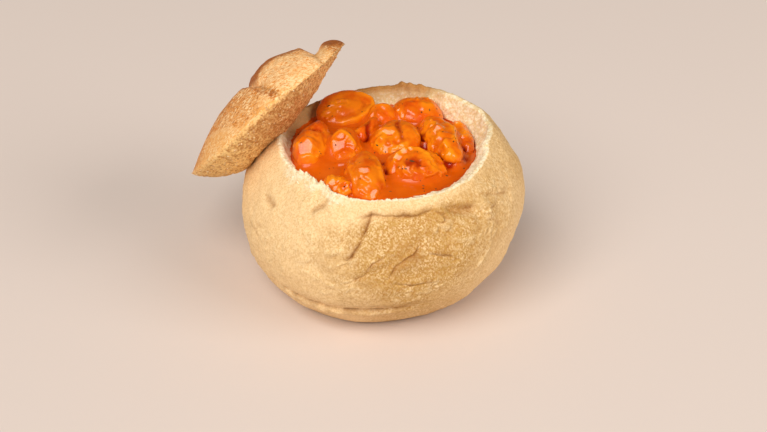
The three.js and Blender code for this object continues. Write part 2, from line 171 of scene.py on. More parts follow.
# Baker's slashes: place along the lid, slant, depth, near and far width, ear, how far each has torn open
LID_SLASHES = [(-0.8, 0.2, 4.9, 3.4, 3.4, 2.8, 31.0), (34.5, 0.0, 13.0, 2.2, 9.0, 0.0, 4.0)]
# Browned and pale places on the lid: along, across, radius, browning and paleness
LID_MARKS = [
    (1.6, -44.9, 2.8, -0.3, 0.8),
    (7.0, -44.5, 2.2, 0.45, -0.6),
    (20.8, -39.9, 3.4, 0.4, -0.6),
    (28.5, -24.7, 4.5, 0.4, -0.5),
]
LID_SEAM = (0.44, 36.5)  # slant and place of the pale seam where the browned skin ends
SLASH_WANDER = (0.8, 9.0)  # how far the slashes wander, and over what length
SLASH_LIP = (0.8, 1.6)  # height and width of the lip on the near side of each
EAR_OFFSET = 18.5  # the raised ear beside a slash
EAR_WIDTH = 12.0
EAR_CREST = (-27.0, -12.0)  # across the lid, from torn crumb to the browned skin of the ear
REST_GAP = 0.35
LIFT = 0.25  # the lid's crumb is raised by this much at a time where it would lie in the loaf
LIFTS = 80

# Mesh fineness
LOAF_SECTORS = 640
FRONT_FINENESS = 0.35  # how much closer the sectors are in front than on average
STEEPEST = 80.0  # a height on the loaf is looked for between this elevation and the same below
HALVINGS = 24
OUTSIDE_ROWS = 117
CREASE_CROWD = (2.4, 3.0)  # how much closer the rows are at a crease, and how far round it
LIP_ROWS = 5
BROWNED_ROWS = LIP_ROWS + 3
CRUMB_ROWS = 26
LID_SECTORS = 540
LID_CRUMB_ROWS = 72
LID_CRUST_ROWS = 96
SAUCE_SECTORS = 380
SAUCE_ROWS = 120
CHUNK_STEP = 0.5
CHUNK_WELD = 0.001  # corners of a piece's solid closer than this are one
CHUNK_SOFTENING = (0.5, 10)  # strength and rounds
FIELD_REACH = 54.0  # half the width of the grid of heights over the stew
FIELD_STEP = 0.6
HIGH_ABOVE = 200.0  # things are dropped onto the stew from this height
NOTHING_BELOW = -1000.0

# Relief of the coated pieces
CHUNK_SEEDS = (200, 10)  # the first piece's seed, and how far apart they are
CHUNK_COAT = 0.35  # the coat of sauce on a piece
LUMP_STRENGTH = 1.5
FIBRE_SIZE = 1.5
FIBRE_SQUEEZE = 0.82  # how much its skin is squeezed along its fibres
LINE_WANDER = (0.5, 4.0)  # how far its drawn lines wander, and over what length
RIPPLE_SIZE = 2.6
BEAD_SIZE = 2.4
BEAD_HEIGHT = 0.5
FACET_REACH = 1.6  # how far a piece's skin moves to lie flat
FACET_DOME = 0.09  # and how far it still curves down, as a share of its radius
QUIET_WAY = (0.22, -0.3, 0.928)  # a flat place that faces this way throws no light at the camera

# Grain of each crust: ways its fibres run, their size, shares of pale flecks and of pits, depth
BOWL_GRAIN = {
    "fibres": [(0.5, 0.0, 0.866), (-0.64, 0.0, 0.768)],
    "size": 0.76, "flecking": 0.52, "pitting": 0.6, "depth": 0.5,
}
LID_GRAIN = {
    "fibres": [(0.741, 0.361, 0.566), (0.9, 0.1, 0.424)],
    "size": 0.95, "flecking": 1.0, "pitting": 0.95, "depth": 1.1,
}
FIBRE_SHARE = 0.45  # how much places are squeezed along a fibre's way
BREAD_MEASURES = ("crumb", "fold", "toast_and_painted_light", "soak", "pale")
COAT_GLOSS = 0.9
SAUCE_GLOSS = 0.7

# Strewn bits, in metres: widths and thicknesses are shares of the length
PEPPER_BITS = {
    "Per square metre": 10000.0, "Shortest": 0.35 * MM, "Longest": 1.0 * MM,
    "Slimness": 0.65, "Flatness": 0.4, "Raggedness": 0.5 * MM, "Seed": 5,
}
CRUMB_BITS = {
    "Per square metre": 300000.0, "Shortest": 0.5 * MM, "Longest": 1.9 * MM,
    "Slimness": 0.4, "Flatness": 0.35, "Raggedness": 0.9 * MM, "Seed": 11,
}
LID_BITS = {
    "Per square metre": 90000.0, "Shortest": 0.5 * MM, "Longest": 1.7 * MM,
    "Slimness": 0.4, "Flatness": 0.4, "Raggedness": 0.9 * MM, "Seed": 13,
}
RAG_WAVES = 1400.0  # in a metre of the noise that makes the bits ragged

# Coated pieces: smooth lumps (height, size), knobs (height, size, direction they keep to),
# fibres (height, direction), drawn lines (places along the line, rise, width),
# flat places (place, radius), bright ones that catch the light and quiet ones that don't,
# the height of fine ripples, and patches of beads (place, reach). Not every piece has all of them
CHUNKS = {
    "piece_front": {
        "lumps": (0.4, 8.0), "fibres": (0.1, (0.2, 1.0, 0.0)),
        "lines": [
            ([(-17, -22), (-17, -30), (-13.5, -39)], -0.6, 0.8),
            ([(-15.4, -20), (-15.3, -30), (-12, -39.5)], 0.5, 0.8),
            ([(-13.8, -18), (-13.2, -30), (-10.5, -40)], -0.5, 0.8),
            ([(-3.5, -18), (-0.8, -28), (0, -37)], 0.8, 1.3),
            ([(-11, -40.5), (-6, -42), (-1, -40)], -0.6, 1.5),
        ],
        "bright": [(-8.7, -35.0, 2.5), (-3.6, -44.0, 2.2)],
        "quiet": [(-9.2, -40.2, 2.4), (-9.0, -43.6, 2.0)],
        "ripple": 0.07,
        "beads": [(-15, -29, 4.5), (-1.0, -30.0, 3.0)],
    },
    "piece_front_right": {
        "lumps": (0.5, 6.5), "knobs": (0.9, 2.4, (0.98, 0.1, -0.1)), "fibres": (0.14, (0.3, 1.0, 0.4)),
        "lines": [
            ([(5.5, -24), (7.3, -19), (11.6, -16), (15, -14), (19.5, -16.5), (23, -20.5), (25.3, -26)],
             1.2, 1.4),
            ([(10, -26.5), (14.5, -24.8), (20, -26)], -1.4, 3.4),
            ([(11.5, -26), (6.3, -27)], 0.25, 0.8),
            ([(13, -26.5), (9, -29.8)], 0.25, 0.7),
            ([(14.5, -27), (13.1, -31.4)], 0.25, 0.7),
            ([(16.2, -27), (17, -31.5)], 0.25, 0.7),
            ([(18, -26.5), (20.7, -30.4)], 0.25, 0.7),
        ],
        "bright": [(7.6, -20.0, 2.2), (10.2, -17.4, 2.2), (13.0, -15.8, 1.6), (5.6, -24.8, 1.0)],
        "quiet": [(12.0, -29.5, 2.2), (17.0, -29.8, 2.2)],
        "ripple": 0.12,
        "beads": [(17, -30.5, 5), (24, -22, 5), (6, -26, 4)],
    },
    "piece_right": {
        "lumps": (0.6, 7.0), "knobs": (0.9, 3.6, (-0.95, -0.1, 0.2)), "fibres": (0.1, (0.2, 1.0, 0.0)),
        "lines": [
            ([(25.5, 20), (30.5, 14), (34, 6), (35, -1), (34, -10)], 0.9, 1.1),
            ([(28, 14), (30.5, 6), (31, -2), (30, -10)], -0.6, 1.8),
            ([(27, -11.5), (31, -14), (34.8, -15)], 0.7, 1.2),
        ],
        "bright": [(26.6, 1.6, 3.0), (24.3, 6.0, 1.6)],
        "quiet": [(31.0, -3.5, 3.0), (32.0, -9.5, 3.0), (29.5, -12.5, 2.2)],
        "ripple": 0.2,
        "beads": [(24, -4, 6), (25, 10, 4)],
    },
    "piece_left": {
        "lumps": (0.35, 9.0), "knobs": (0.5, 4.0, (0.3, -0.8, -0.2)), "fibres": (0.06, (0.0, 1.0, 0.3)),
        "lines": [
            ([(-38, 5.5), (-33, 4), (-28.5, 5.5)], -1.3, 1.8),
            ([(-41.5, 4), (-41.5, -4), (-40, -12)], 0.6, 1.4),
            ([(-31, 2), (-29.5, -5), (-30.5, -12)], 0.5, 1.8),
        ],
        "bright": [(-36.6, -10.4, 4.8)],
        "ripple": 0.05,
        "beads": [(-41, -6, 4), (-33, 6, 4), (-32, -14, 4)],
    },
    "piece_middle_left": {
        "lumps": (0.3, 8.0), "fibres": (0.06, (0.3, 1.0, 0.0)),
        "lines": [
            ([(-25, -1), (-19.5, 2), (-15.5, -4), (-12, -7)], 0.9, 1.3),
            ([(-15, -11), (-11.5, -8), (-10.5, -3)], -0.5, 1.4),
            ([(-22.5, -10.5), (-20, -13), (-16, -12.5), (-12, -10)], 1.0, 1.0),
        ],
        "bright": [(-21.6, -5.4, 3.9), (-20.2, -2.2, 2.4), (-12.4, -8.6, 0.8)],
        "quiet": [(-17.0, -10.2, 2.6)],
        "ripple": 0.05,
        "beads": [(-12, -9, 4)],
    },
    "piece_middle": {
        "lumps": (0.35, 8.0), "knobs": (0.25, 3.0, (-0.3, -0.9, 0.3)), "fibres": (0.12, (1.0, 0.4, 0.0)),
        "lines": [
            ([(7, 15), (7.5, 7), (9.5, 0), (9.6, -5)], -1.4, 1.6),
            ([(-3, 8), (0, 4), (1.5, 1), (0, -3)], 0.5, 1.8),
            ([(-3.5, -1.5), (-1.5, -5), (0.5, -7.5)], 0.8, 1.0),
            ([(3.5, -9), (8.8, -7.6), (13.2, -5.2)], 0.9, 1.0),
            ([(9.5, 8), (14, 7), (17, 3), (17.5, -2)], 0.7, 1.8),
        ],
        "bright": [(3.0, 1.8, 4.4), (-0.8, 6.0, 1.8), (9.4, -7.8, 1.2)],
        "quiet": [(4.6, -4.4, 2.6), (14.0, 0.0, 3.0)],
        "ripple": 0.2,
        "beads": [(7, -8, 6), (-2, 0, 4)],
    },
    "piece_back_left": {
        "lumps": (0.3, 9.0), "fibres": (0.1, (0.8, 0.6, 0.0)),
        "lines": [
            ([(-16, 41), (-10, 41), (-5.5, 38.5), (-4.5, 34.5), (-7.5, 29.6), (-12.7, 25), (-19.4, 23.4),
              (-26, 24)], 1.0, 1.1),
            ([(-11, 38), (-8.5, 33.5), (-12, 28.4), (-18, 26), (-24, 26.5)], -0.8, 1.6),
            ([(-28, 34), (-22, 32), (-15, 35)], 0.5, 1.6),
        ],
        "bright": [(-21.6, 33.4, 1.6), (-18.6, 34.0, 1.4), (-28.0, 28.2, 1.4), (-24.8, 24.6, 1.4)],
        "ripple": 0.1,
        "beads": [(-26, 29, 6), (-20, 33, 4)],
    },
    "piece_back_right": {
        "lumps": (0.4, 9.0), "fibres": (0.06, (1.0, -0.3, 0.0)),
        "lines": [
            ([(7, 30), (9, 25.5), (13, 23)], 0.6, 1.4),
            ([(16, 36), (21.7, 28.5), (28, 31)], 0.6, 1.4),
            ([(13, 34), (18, 31.5), (21, 34)], -0.5, 2.0),
        ],
        "bright": [(8.0, 27.6, 1.1), (10.0, 24.6, 1.2)],
        "quiet": [(15.0, 25.6, 3.6)],
        "ripple": 0.07,
        "beads": [(20, 36, 6), (9, 26, 3)],
    },
    "piece_back": {
        "lumps": (0.3, 6.0), "fibres": (0.06, (0.3, 1.0, 0.0)),
        "lines": [([(-5.5, 28), (-3, 30), (1, 28.5), (5, 30)], 0.5, 1.2)],
        "bright": [(-4.8, 24.8, 1.3)],
        "quiet": [(-0.4, 24.0, 2.6)],
        "ripple": 0.07,
    },
    "piece_fold": {
        "lumps": (0.25, 6.0), "fibres": (0.12, (0.4, 1.0, 0.0)),
        "lines": [
            ([(-12, 22), (-12.3, 14), (-11.6, 5)], 1.0, 1.0),
            ([(-7.6, 19), (-7, 12), (-7.4, 5)], -1.9, 2.0),
        ],
        "ripple": 0.07,
        "beads": [(-12, 8, 3)],
    },
    "piece_front_left": {
        "lumps": (0.4, 4.0), "knobs": (1.0, 3.0, (0.0, -0.4, 0.9)), "fibres": (0.15, (1.0, 0.6, 0.0)),
        "lines": [([(-24, -34), (-20, -35.5), (-16.5, -35)], -0.6, 1.0)],
        "bright": [(-22.7, -38.6, 1.2), (-18.6, -40.6, 0.9), (-16.0, -40.0, 1.0)],
        "ripple": 0.12,
        "beads": [(-20, -37, 7)],
    },
    "piece_right_low": {
        "lumps": (0.5, 5.0), "knobs": (0.4, 3.5, (0.0, 0.0, 1.0)), "fibres": (0.1, (0.2, 1.0, 0.0)),
        "lines": [([(37, 22), (40, 14), (40.5, 4)], 0.5, 1.6)],
        "bright": [(37.0, 18.0, 1.2)],
        "ripple": 0.1,
        "beads": [(39, 10, 8)],
    },
}

# Herb shreds that can be told apart: place, length, turn in degrees
HERB_SHREDS = [
    (14.3, -24.0, 2.6, -12), (11.2, -27.5, 1.7, -30), (8.0, -26.0, 1.3, 20), (-39.0, -9.0, 1.8, 35),
    (-15.6, -1.0, 1.8, -35), (3.3, 19.5, 1.7, 10), (-2.4, -5.0, 2.2, -50), (3.9, -38.5, 1.6, 5),
    (19.7, -33.5, 1.5, -15), (30.9, -24.6, 1.7, 15), (-24.8, 26.0, 1.3, 60), (-26.7, 31.0, 1.7, 40),
    (-19.5, -35.0, 1.4, 0), (23.7, 26.0, 1.6, -70), (20.4, 34.0, 1.4, 10), (26.5, -14.5, 2.2, -45),
    (-6.0, -25.0, 1.2, 80), (-10.5, -29.0, 1.0, 25), (37.5, -6.0, 1.9, -40), (-18.0, 6.0, 1.0, 15),
]
HERB_SEED = 7  # for how slim each is and how it bends

# Camera: metres and degrees, for an image of 767 by 432
IMAGE_WIDTH = 767
FOCAL_PIXELS = 1750.0
SENSOR_WIDTH = 36.0
VIEW_ELEVATION = 32.5
VIEW_DISTANCE = 0.875
VIEW_CENTRE = Vector((0.00075, 0.0, 0.0318))
NEAREST_SEEN = 0.05

# Soft boxes and floor, in metres and watts
KEY_PLACE = (-1.72, -2.75, 3.65)
KEY_SIZE = (3.6, 3.6)
KEY_POWER = 226.0
KEY_COLOUR = (1.0, 0.97, 0.93)
FILL_PLACE = (1.95, -1.0, 1.4)
FILL_SIZE = (1.6, 1.2)
FILL_POWER = 31.0
FILL_COLOUR = (1.0, 0.97, 0.94)
LIT_POINT = (0.0, 0.0, 0.05)
FLOOR_HALF = 4.0
ROOM_COLOUR = (1.0, 0.97, 0.94, 1.0)
ROOM_LIGHT = 0.25
ROOM_GLOSS = 0.07  # the share of it that shows in gloss

# How a lattice corner's place and a seed are mixed into a repeatable number
CORNER_FACTORS = (73856093, 19349663, 83492791)
SEED_FACTOR = 15485863
MIXING_ROUNDS = [(15, 2246822519), (13, 3266489917), (16, 1)]  # shift and factor
HALF_RANGE = 2147483647.5


def paint(red, green, blue):
    """A colour as seen on screen, 0 to 255, as the scene's own linear colour."""
    linear = []
    for part in (red, green, blue):
        share = part / 255.0
        linear.append(share / 12.92 if share <= 0.04045 else ((share + 0.055) / 1.055) ** 2.4)
    return (*linear, 1.0)


# Colours
PALE_CRUST = paint(246, 209, 155)
GOLD_CRUST = paint(196, 150, 79)
# Brown of the baked crust, also used for painted shade on the torn crumb
BREAD_BROWN = paint(176, 116, 52)
# Painted shade in the creases, the crumb's pores and the lid's slashes
PAINTED_SHADE_BROWN = paint(150, 94, 38)
FLECK = paint(249, 218, 167)
FLOUR = paint(252, 226, 180)
CRUMB = paint(250, 235, 201)
CRUMB_SHADE = paint(232, 203, 150)
LID_GOLD = paint(228, 141, 56)
LID_PALE = paint(246, 181, 102)
# LID_BROWN also paints the shade across the middle of the lid's crumb
LID_BROWN = paint(168, 86, 16)
LID_OPEN = paint(255, 213, 155)
LID_CRUMB = paint(250, 208, 138)
LID_CRUMB_SHADE = paint(198, 140, 76)
SAUCE_ORANGE = paint(207, 84, 0)
# Painted shade in the crevices of the stew
SAUCE_RED = paint(158, 30, 0)
SAUCE_PALE = paint(228, 106, 10)
COAT_ORANGE = paint(218, 82, 0)
COAT_GOLD = paint(250, 146, 12)
HERB = paint(58, 52, 24)
HERB_PALE = paint(92, 84, 34)
PEPPER = paint(44, 26, 14)
PEPPER_PALE = paint(84, 48, 22)
FLOOR_BEIGE = paint(221, 206, 196)
FLOOR_SHADE = paint(217, 201, 190)


def ease(share):
    """Runs smoothly from 0 to 1."""
    share = np.clip(share, 0.0, 1.0)
    return share * share * (3.0 - 2.0 * share)


def step_between(value, low, high):
    """0 up to a low value, 1 from a high one, smooth between them."""
    return ease((value - low) / (high - low))


def fading_ends(along, start, end):
    """1 on the middle of a route, easing off towards both its ends."""
    return step_between(along, start, end) * step_between(1.0 - along, start, end)


def bell(distance, width):
    """1 in the middle, falling off smoothly over a width."""
    return np.exp(-((distance / width) ** 2))


def half_turn(degrees):
    """Angles turned round to lie from -180 to 180 degrees."""
    return (degrees + 180.0) % 360.0 - 180.0


def flat_gap(points, x=0.0, y=0.0):
    """How far points lie from a place or from the middle, seen from above."""
    return np.hypot(points[..., 0] - x, points[..., 1] - y)


def unit(way):
    """A direction of length one."""
    return np.array(Vector(way).normalized())


def lattice_value(corner, seed):
    """A repeatable number from -1 to 1 for every whole-numbered corner of a lattice."""
    x, y, z = np.moveaxis(corner * np.array(CORNER_FACTORS), -1, 0)
    mixed = ((x ^ y ^ z) + seed * SEED_FACTOR).astype(np.uint32)
    for shift, factor in MIXING_ROUNDS:
        mixed = (mixed ^ (mixed >> np.uint32(shift))) * np.uint32(factor)
    return mixed / HALF_RANGE - 1.0


def smooth_noise(points, size, seed):
    """Smooth unevenness from -1 to 1, with features of one size."""
    scaled = points / size
    base = np.floor(scaled).astype(np.int64)
    share = ease(scaled - base)
    total = np.zeros(points.shape[:-1])
    for corner in np.ndindex(2, 2, 2):
        weight = np.prod(np.where(corner, share, 1.0 - share), axis=-1)
        total += weight * lattice_value(base + np.array(corner), seed)
    return total


def rough_noise(points, size, seed, octaves=3):
    """Smooth unevenness with ever finer and lower layers."""
    total = np.zeros(points.shape[:-1])
    for octave in range(octaves):
        total += smooth_noise(points, size / 2**octave, seed + octave) / 2**octave
    return total


def pore_depth(points, size, seed, spread):
    """1 in the middle of round pores about one size apart, 0 between them."""
    scaled = points / size
    base = np.floor(scaled).astype(np.int64)
    nearest = np.full(points.shape[:-1], np.inf)
    for offset in np.ndindex(3, 3, 3):
        corner = base + np.array(offset) - 1
        place = [lattice_value(corner, seed + axis) * 0.5 + 0.5 for axis in range(3)]
        gap = np.linalg.norm(corner + np.stack(place, -1) - scaled, axis=-1)
        nearest = np.minimum(nearest, gap)
    return 1.0 - step_between(nearest, 0.1, spread)


def lump(points, form):
    """The solids' own smooth unevenness: height, length, phase."""
    height, length, phase = form
    k = 2.0 * math.pi / length
    x, y, z = np.moveaxis(points, -1, 0)
    first = np.sin(k * (x + 0.6 * y) + phase)
    second = np.sin(k * (y - 0.5 * z) + 1.7 * phase + 1.0)
    third = np.sin(k * (z + 0.7 * x) + 2.3 * phase + 2.0)
    return height * (first + second + third) / 3.0


def route_gap(places, route):
    """Distance from each place to a route, the same with the left side positive, and the way along."""
    corners = np.asarray(route, float)
    nearest = np.full(places.shape[:-1], np.inf)
    side = np.zeros_like(nearest)
    along = np.zeros_like(nearest)
    for index, (start, end) in enumerate(zip(corners[:-1], corners[1:])):
        run = end - start
        offset = places - start
        share = np.clip(offset @ run / (run @ run), 0.0, 1.0)
        gap = np.linalg.norm(offset - share[..., None] * run, axis=-1)
        turn = run[0] * offset[..., 1] - run[1] * offset[..., 0]
        closer = gap < nearest
        side = np.where(closer, np.sign(turn) * gap, side)
        along = np.where(closer, (index + share) / (len(corners) - 1), along)
        nearest = np.minimum(nearest, gap)
    return nearest, side, along


def all_round(count):
    """Azimuths evenly round a circle."""
    return np.linspace(0.0, 2.0 * math.pi, count, endpoint=False)


def ring(azimuth, radius, height):
    """Points at azimuths, radii and heights."""
    azimuth, radius, height = np.broadcast_arrays(azimuth, radius, height)
    return np.stack([radius * np.cos(azimuth), radius * np.sin(azimuth), height], -1)


def add_measures(mesh, measures):
    """Stores one number for each point of a mesh, for its material to read."""
    for name, values in measures.items():
        store = mesh.attributes.new(name, "FLOAT", "POINT")
        store.data.foreach_set("value", np.ascontiguousarray(values, np.float32).ravel())


def closed_skin(name, rings, first_pole, last_pole, measures):
    """A mesh over rings of points in millimetres, closed by one point at each end."""
    rows, sectors, _ = rings.shape
    points = np.concatenate([[first_pole], rings.reshape(-1, 3), [last_pole]]) * MM
    here = 1 + np.arange(rows * sectors).reshape(rows, sectors)
    beside = np.roll(here, -1, axis=1)
    quads = np.stack([here[:-1], beside[:-1], beside[1:], here[1:]], -1).reshape(-1, 4)
    last = np.full(sectors, len(points) - 1)
    first_fan = np.stack([np.zeros(sectors, int), beside[0], here[0]], -1)
    last_fan = np.stack([here[-1], beside[-1], last], -1)
    mesh = bpy.data.meshes.new(name)
    mesh.from_pydata(points.tolist(), [], quads.tolist() + first_fan.tolist() + last_fan.tolist())
    mesh.shade_smooth()
    padded = {key: np.concatenate([[0.0], values.ravel(), [0.0]]) for key, values in measures.items()}
    add_measures(mesh, padded)
    return mesh


def mesh_points(mesh):
    """A mesh's points, in millimetres."""
    points = np.empty(len(mesh.vertices) * 3, np.float32)
    mesh.vertices.foreach_get("co", points)
    return points.reshape(-1, 3).astype(float) / MM


def mesh_normals(mesh):
    """The directions that a mesh faces at its points."""
    normals = np.empty(len(mesh.vertices) * 3, np.float32)
    mesh.vertex_normals.foreach_get("vector", normals)
    return normals.reshape(-1, 3).astype(float)


def set_mesh_points(mesh, points):
    """Moves a mesh's points to places in millimetres."""
    mesh.vertices.foreach_set("co", np.ascontiguousarray(points * MM, np.float32).ravel())
    mesh.update()


def add_piece(name, mesh, finish, node=None):
    """Puts a finished mesh into the scene, on the part's one body."""
    piece = bpy.data.objects.new(name, mesh)
    bpy.context.scene.collection.objects.link(piece)
    mesh.materials.clear()
    mesh.materials.append(finish)
    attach(piece, BODY)
    if node:
        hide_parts(node)
    return piece


class Value:
    """A number that varies over a surface. Arithmetic on it adds Math nodes."""

    def __init__(self, tree, socket):
        self.tree = tree
        self.socket = socket

    def __add__(self, other):
        return self.tree.math("ADD", self, other)

    def __radd__(self, other):
        return self.tree.math("ADD", other, self)

    def __sub__(self, other):
        return self.tree.math("SUBTRACT", self, other)

    def __rsub__(self, other):
        return self.tree.math("SUBTRACT", other, self)

    def __mul__(self, other):
        return self.tree.math("MULTIPLY", self, other)

    def __rmul__(self, other):
        return self.tree.math("MULTIPLY", other, self)


def socket_named(sockets, key):
    """A node's socket by its place, or by its name among those in use."""
    if isinstance(key, int):
        return sockets[key]
    return next(socket for socket in sockets if socket.name == key and socket.enabled)


class Tree:
    """A node tree, with one way to add a node."""

    def __init__(self, tree):
        self.tree = tree

    def node(self, kind, settings=None, inputs=None):
        """Adds a node, with its settings and what goes into it."""
        made = self.tree.nodes.new(kind)
        for key, setting in (settings or {}).items():
            setattr(made, key, setting)
        for key, given in (inputs or {}).items():
            socket = socket_named(made.inputs, key)
            given = given.socket if isinstance(given, Value) else given
            if isinstance(given, bpy.types.NodeSocket):
                self.tree.links.new(given, socket)
            else:
                socket.default_value = given
        return made

    def out(self, made, key=0):
        """What comes out of a node, to reckon with."""
        return Value(self, socket_named(made.outputs, key))

    def math(self, operation, first, second):
        return self.out(self.node("ShaderNodeMath", {"operation": operation}, {0: first, 1: second}))


class Finish(Tree):
    """A procedural material, on Object coordinates in metres."""

    def __init__(self, name):
        self.material = bpy.data.materials.new(name)
        self.material.use_nodes = True
        super().__init__(self.material.node_tree)
        self.tree.nodes.clear()
        self.place = self.node("ShaderNodeTexCoord").outputs["Object"]

    def drawn_out(self, way):
        """Places squeezed along one way, so that noise on them is drawn out along it."""
        along = self.node("ShaderNodeVectorMath", {"operation": "DOT_PRODUCT"}, {0: self.place, 1: way})
        share = {0: way, "Scale": FIBRE_SHARE * self.out(along, "Value")}
        part = self.node("ShaderNodeVectorMath", {"operation": "SCALE"}, share).outputs[0]
        squeezed = {0: self.place, 1: part}
        return self.node("ShaderNodeVectorMath", {"operation": "SUBTRACT"}, squeezed).outputs[0]

    def noise(self, size, detail=2.0, roughness=0.5, way=None, warp=0.0):
        """Noise from 0 to 1, its features of a size in millimetres, drawn out along a way if given."""
        place = self.drawn_out(way) if way else self.place
        sizes = {"Vector": place, "Scale": 1.0 / (size * MM), "Detail": detail, "Roughness": roughness,
                 "Distortion": warp}
        return self.out(self.node("ShaderNodeTexNoise", None, sizes), "Fac")

    def spots(self, size):
        """Distance to the nearest of scattered points, 0 at the points."""
        sizes = {"Vector": self.place, "Scale": 1.0 / (size * MM)}
        return self.out(self.node("ShaderNodeTexVoronoi", None, sizes), "Distance")

    def measure(self, name):
        """A number stored on the mesh's points."""
        return self.out(self.node("ShaderNodeAttribute", {"attribute_name": name}), "Fac")

    def step(self, value, low, high):
        """0 up to a low value, 1 from a high one, smooth between them."""
        settings = {"interpolation_type": "SMOOTHSTEP"}
        return self.out(self.node("ShaderNodeMapRange", settings, {"Value": value, 1: low, 2: high}))

    def blend(self, share, first, second):
        """A colour between two others."""
        settings = {"data_type": "RGBA", "clamp_factor": True}
        made = self.node("ShaderNodeMix", settings, {"Factor": share, "A": first, "B": second})
        return socket_named(made.outputs, "Result")

    def bump(self, height, depth, strength=1.0):
        """A normal that shows a height from 0 to 1 as relief of a depth in millimetres."""
        inputs = {"Height": height, "Distance": depth * MM, "Strength": strength}
        return self.node("ShaderNodeBump", None, inputs).outputs[0]

    def surface(self, colour, roughness, normal, constants):
        """Closes the tree and gives back its material."""
        inputs = {"Base Color": colour, "Roughness": roughness, "Normal": normal, **constants}
        shader = self.node("ShaderNodeBsdfPrincipled", None, inputs)
        self.node("ShaderNodeOutputMaterial", None, {"Surface": shader.outputs[0]})
        return self.material


def crumb_colour(finish, light, shade):
    """Torn crumb, with painted shade deeper in its pores, more of it where the crumb is browned and in
    painted shade.
    """
    cells = finish.noise(3.0, detail=3.0, roughness=0.65)
    fine = finish.noise(1.2, roughness=0.6)
    share = finish.step(cells * 0.4 + fine * 0.6 - 0.15 * finish.measure("toast_and_painted_light"), 0.37, 0.55)
    return finish.blend(share, shade, light)


def bread_finish(name, skin, crumb, fibres, size, flecking, pitting, depth):
    """Matte crust, flecked light and dark, with torn crumb and sauce where the mesh says so."""
    pale, gold, brown, opened = skin
    finish = Finish(name)
    cloud = finish.noise(24.0, detail=3.0, roughness=0.55)
    mottle = finish.noise(1.7 * size, detail=3.0, roughness=0.65)
    grain = finish.noise(0.9 * size, roughness=0.6)
    strokes = finish.noise(size, roughness=0.55, way=fibres[0], warp=0.6)
    blisters = finish.noise(size, roughness=0.55, way=fibres[1], warp=0.6)
    fibre = strokes * 0.5 + blisters * 0.5
    # The toast measure holds the bread's browning together with painted shade and painted bounce light
    toast_and_painted_light = finish.measure("toast_and_painted_light")
    opening = finish.measure("pale")
    warm = toast_and_painted_light + 0.3 * (cloud - 0.5) + 0.25 * (mottle - 0.5)
    colour = finish.blend(finish.step(warm, 0.0, 0.42), pale, gold)
    colour = finish.blend(finish.step(toast_and_painted_light + 0.3 * (mottle - 0.5), 0.35, 1.0), colour, brown)
    colour = finish.blend(opening * (0.7 + 0.3 * mottle), colour, opened)
    pits = finish.step(0.5 * grain + 0.5 * mottle, 0.49, 0.59)
    toast_and_light_share = finish.step(toast_and_painted_light, 0.0, 0.4)
    colour = finish.blend(pits * pitting * (0.2 + 0.8 * toast_and_light_share) * (1.0 - opening), colour, brown)
    grooves = 1.0 - finish.step(fibre, 0.43, 0.54)
    colour = finish.blend(0.3 * grooves * (1.0 - toast_and_light_share) * (1.0 - opening), colour, gold)
    colour = finish.blend((0.45 * grooves + pits * pitting) * opening, colour, gold)
    patches = finish.step(finish.noise(10.0, detail=3.0, roughness=0.6), 0.4, 0.62)
    flecks = finish.step(fibre, 0.46, 0.6) * (0.55 + 0.8 * patches)
    colour = finish.blend(flecks * flecking * (1.0 - 0.9 * finish.step(toast_and_painted_light, 0.5, 0.9)), colour, opened)
    # Painted shade in the creases, the pores and the slashes
    colour = finish.blend(finish.measure("fold") * 0.85, colour, PAINTED_SHADE_BROWN)
    torn = crumb_colour(finish, *crumb)
    # Browner torn crumb where it is browned, and painted shade where it lies in shadow
    torn = finish.blend(finish.step(toast_and_painted_light, 0.15, 1.0) * 0.75, torn, brown)
    colour = finish.blend(finish.measure("crumb"), colour, torn)
    soak = finish.step(finish.measure("soak") + 0.6 * (mottle - 0.5), 0.3, 0.6)
    colour = finish.blend(soak, colour, SAUCE_ORANGE)
    normal = finish.bump(fibre * 0.6 + mottle * 0.5 + grain * 0.2, depth, strength=0.9)
    return finish.surface(colour, 0.86 - 0.22 * toast_and_painted_light - 0.35 * soak, normal, {"Specular IOR Level": 0.3})


def stew_finish(name, crevice_shade, body, light, gloss):
    """Glossy sauce or a piece coated in it, with painted shade deeper in the crevices, and lighter on the
    ridges.
    """
    finish = Finish(name)
    cloud = finish.noise(9.0, detail=3.0, roughness=0.55)
    fine = finish.noise(1.6, detail=3.0, roughness=0.6)
    beads = finish.spots(1.1)
    colour = finish.blend(finish.step(cloud, 0.35, 0.7) * 0.5, body, light)
    colour = finish.blend(finish.measure("pale") * (0.55 + 0.45 * fine), colour, light)
    # Painted shade in the crevices and hollows of the stew
    depth = finish.measure("crevice_shade")
    colour = finish.blend(finish.step(depth + 0.25 * (fine - 0.5), 0.1, 0.9), colour, crevice_shade)
    colour = finish.blend((1.0 - finish.step(beads, 0.12, 0.3)) * 0.22, colour, light)
    normal = finish.bump(fine * 0.7 + finish.noise(0.8, roughness=0.5) * 0.3, 0.14, strength=0.5)
    constants = {"Specular IOR Level": 0.08, "Coat Roughness": 0.19, "Coat Weight": gloss}
    return finish.surface(colour, 0.3 + 0.14 * fine, normal, constants)


def speck_finish(name, dark, light):
    """Small dry specks, each a little different."""
    finish = Finish(name)
    shade = finish.noise(1.4, roughness=0.6)
    grain = finish.noise(0.3, roughness=0.6)
    colour = finish.blend(finish.step(shade, 0.35, 0.7), dark, light)
    return finish.surface(colour, 0.5 + 0.3 * grain, finish.bump(grain, 0.08), {"Specular IOR Level": 0.4})


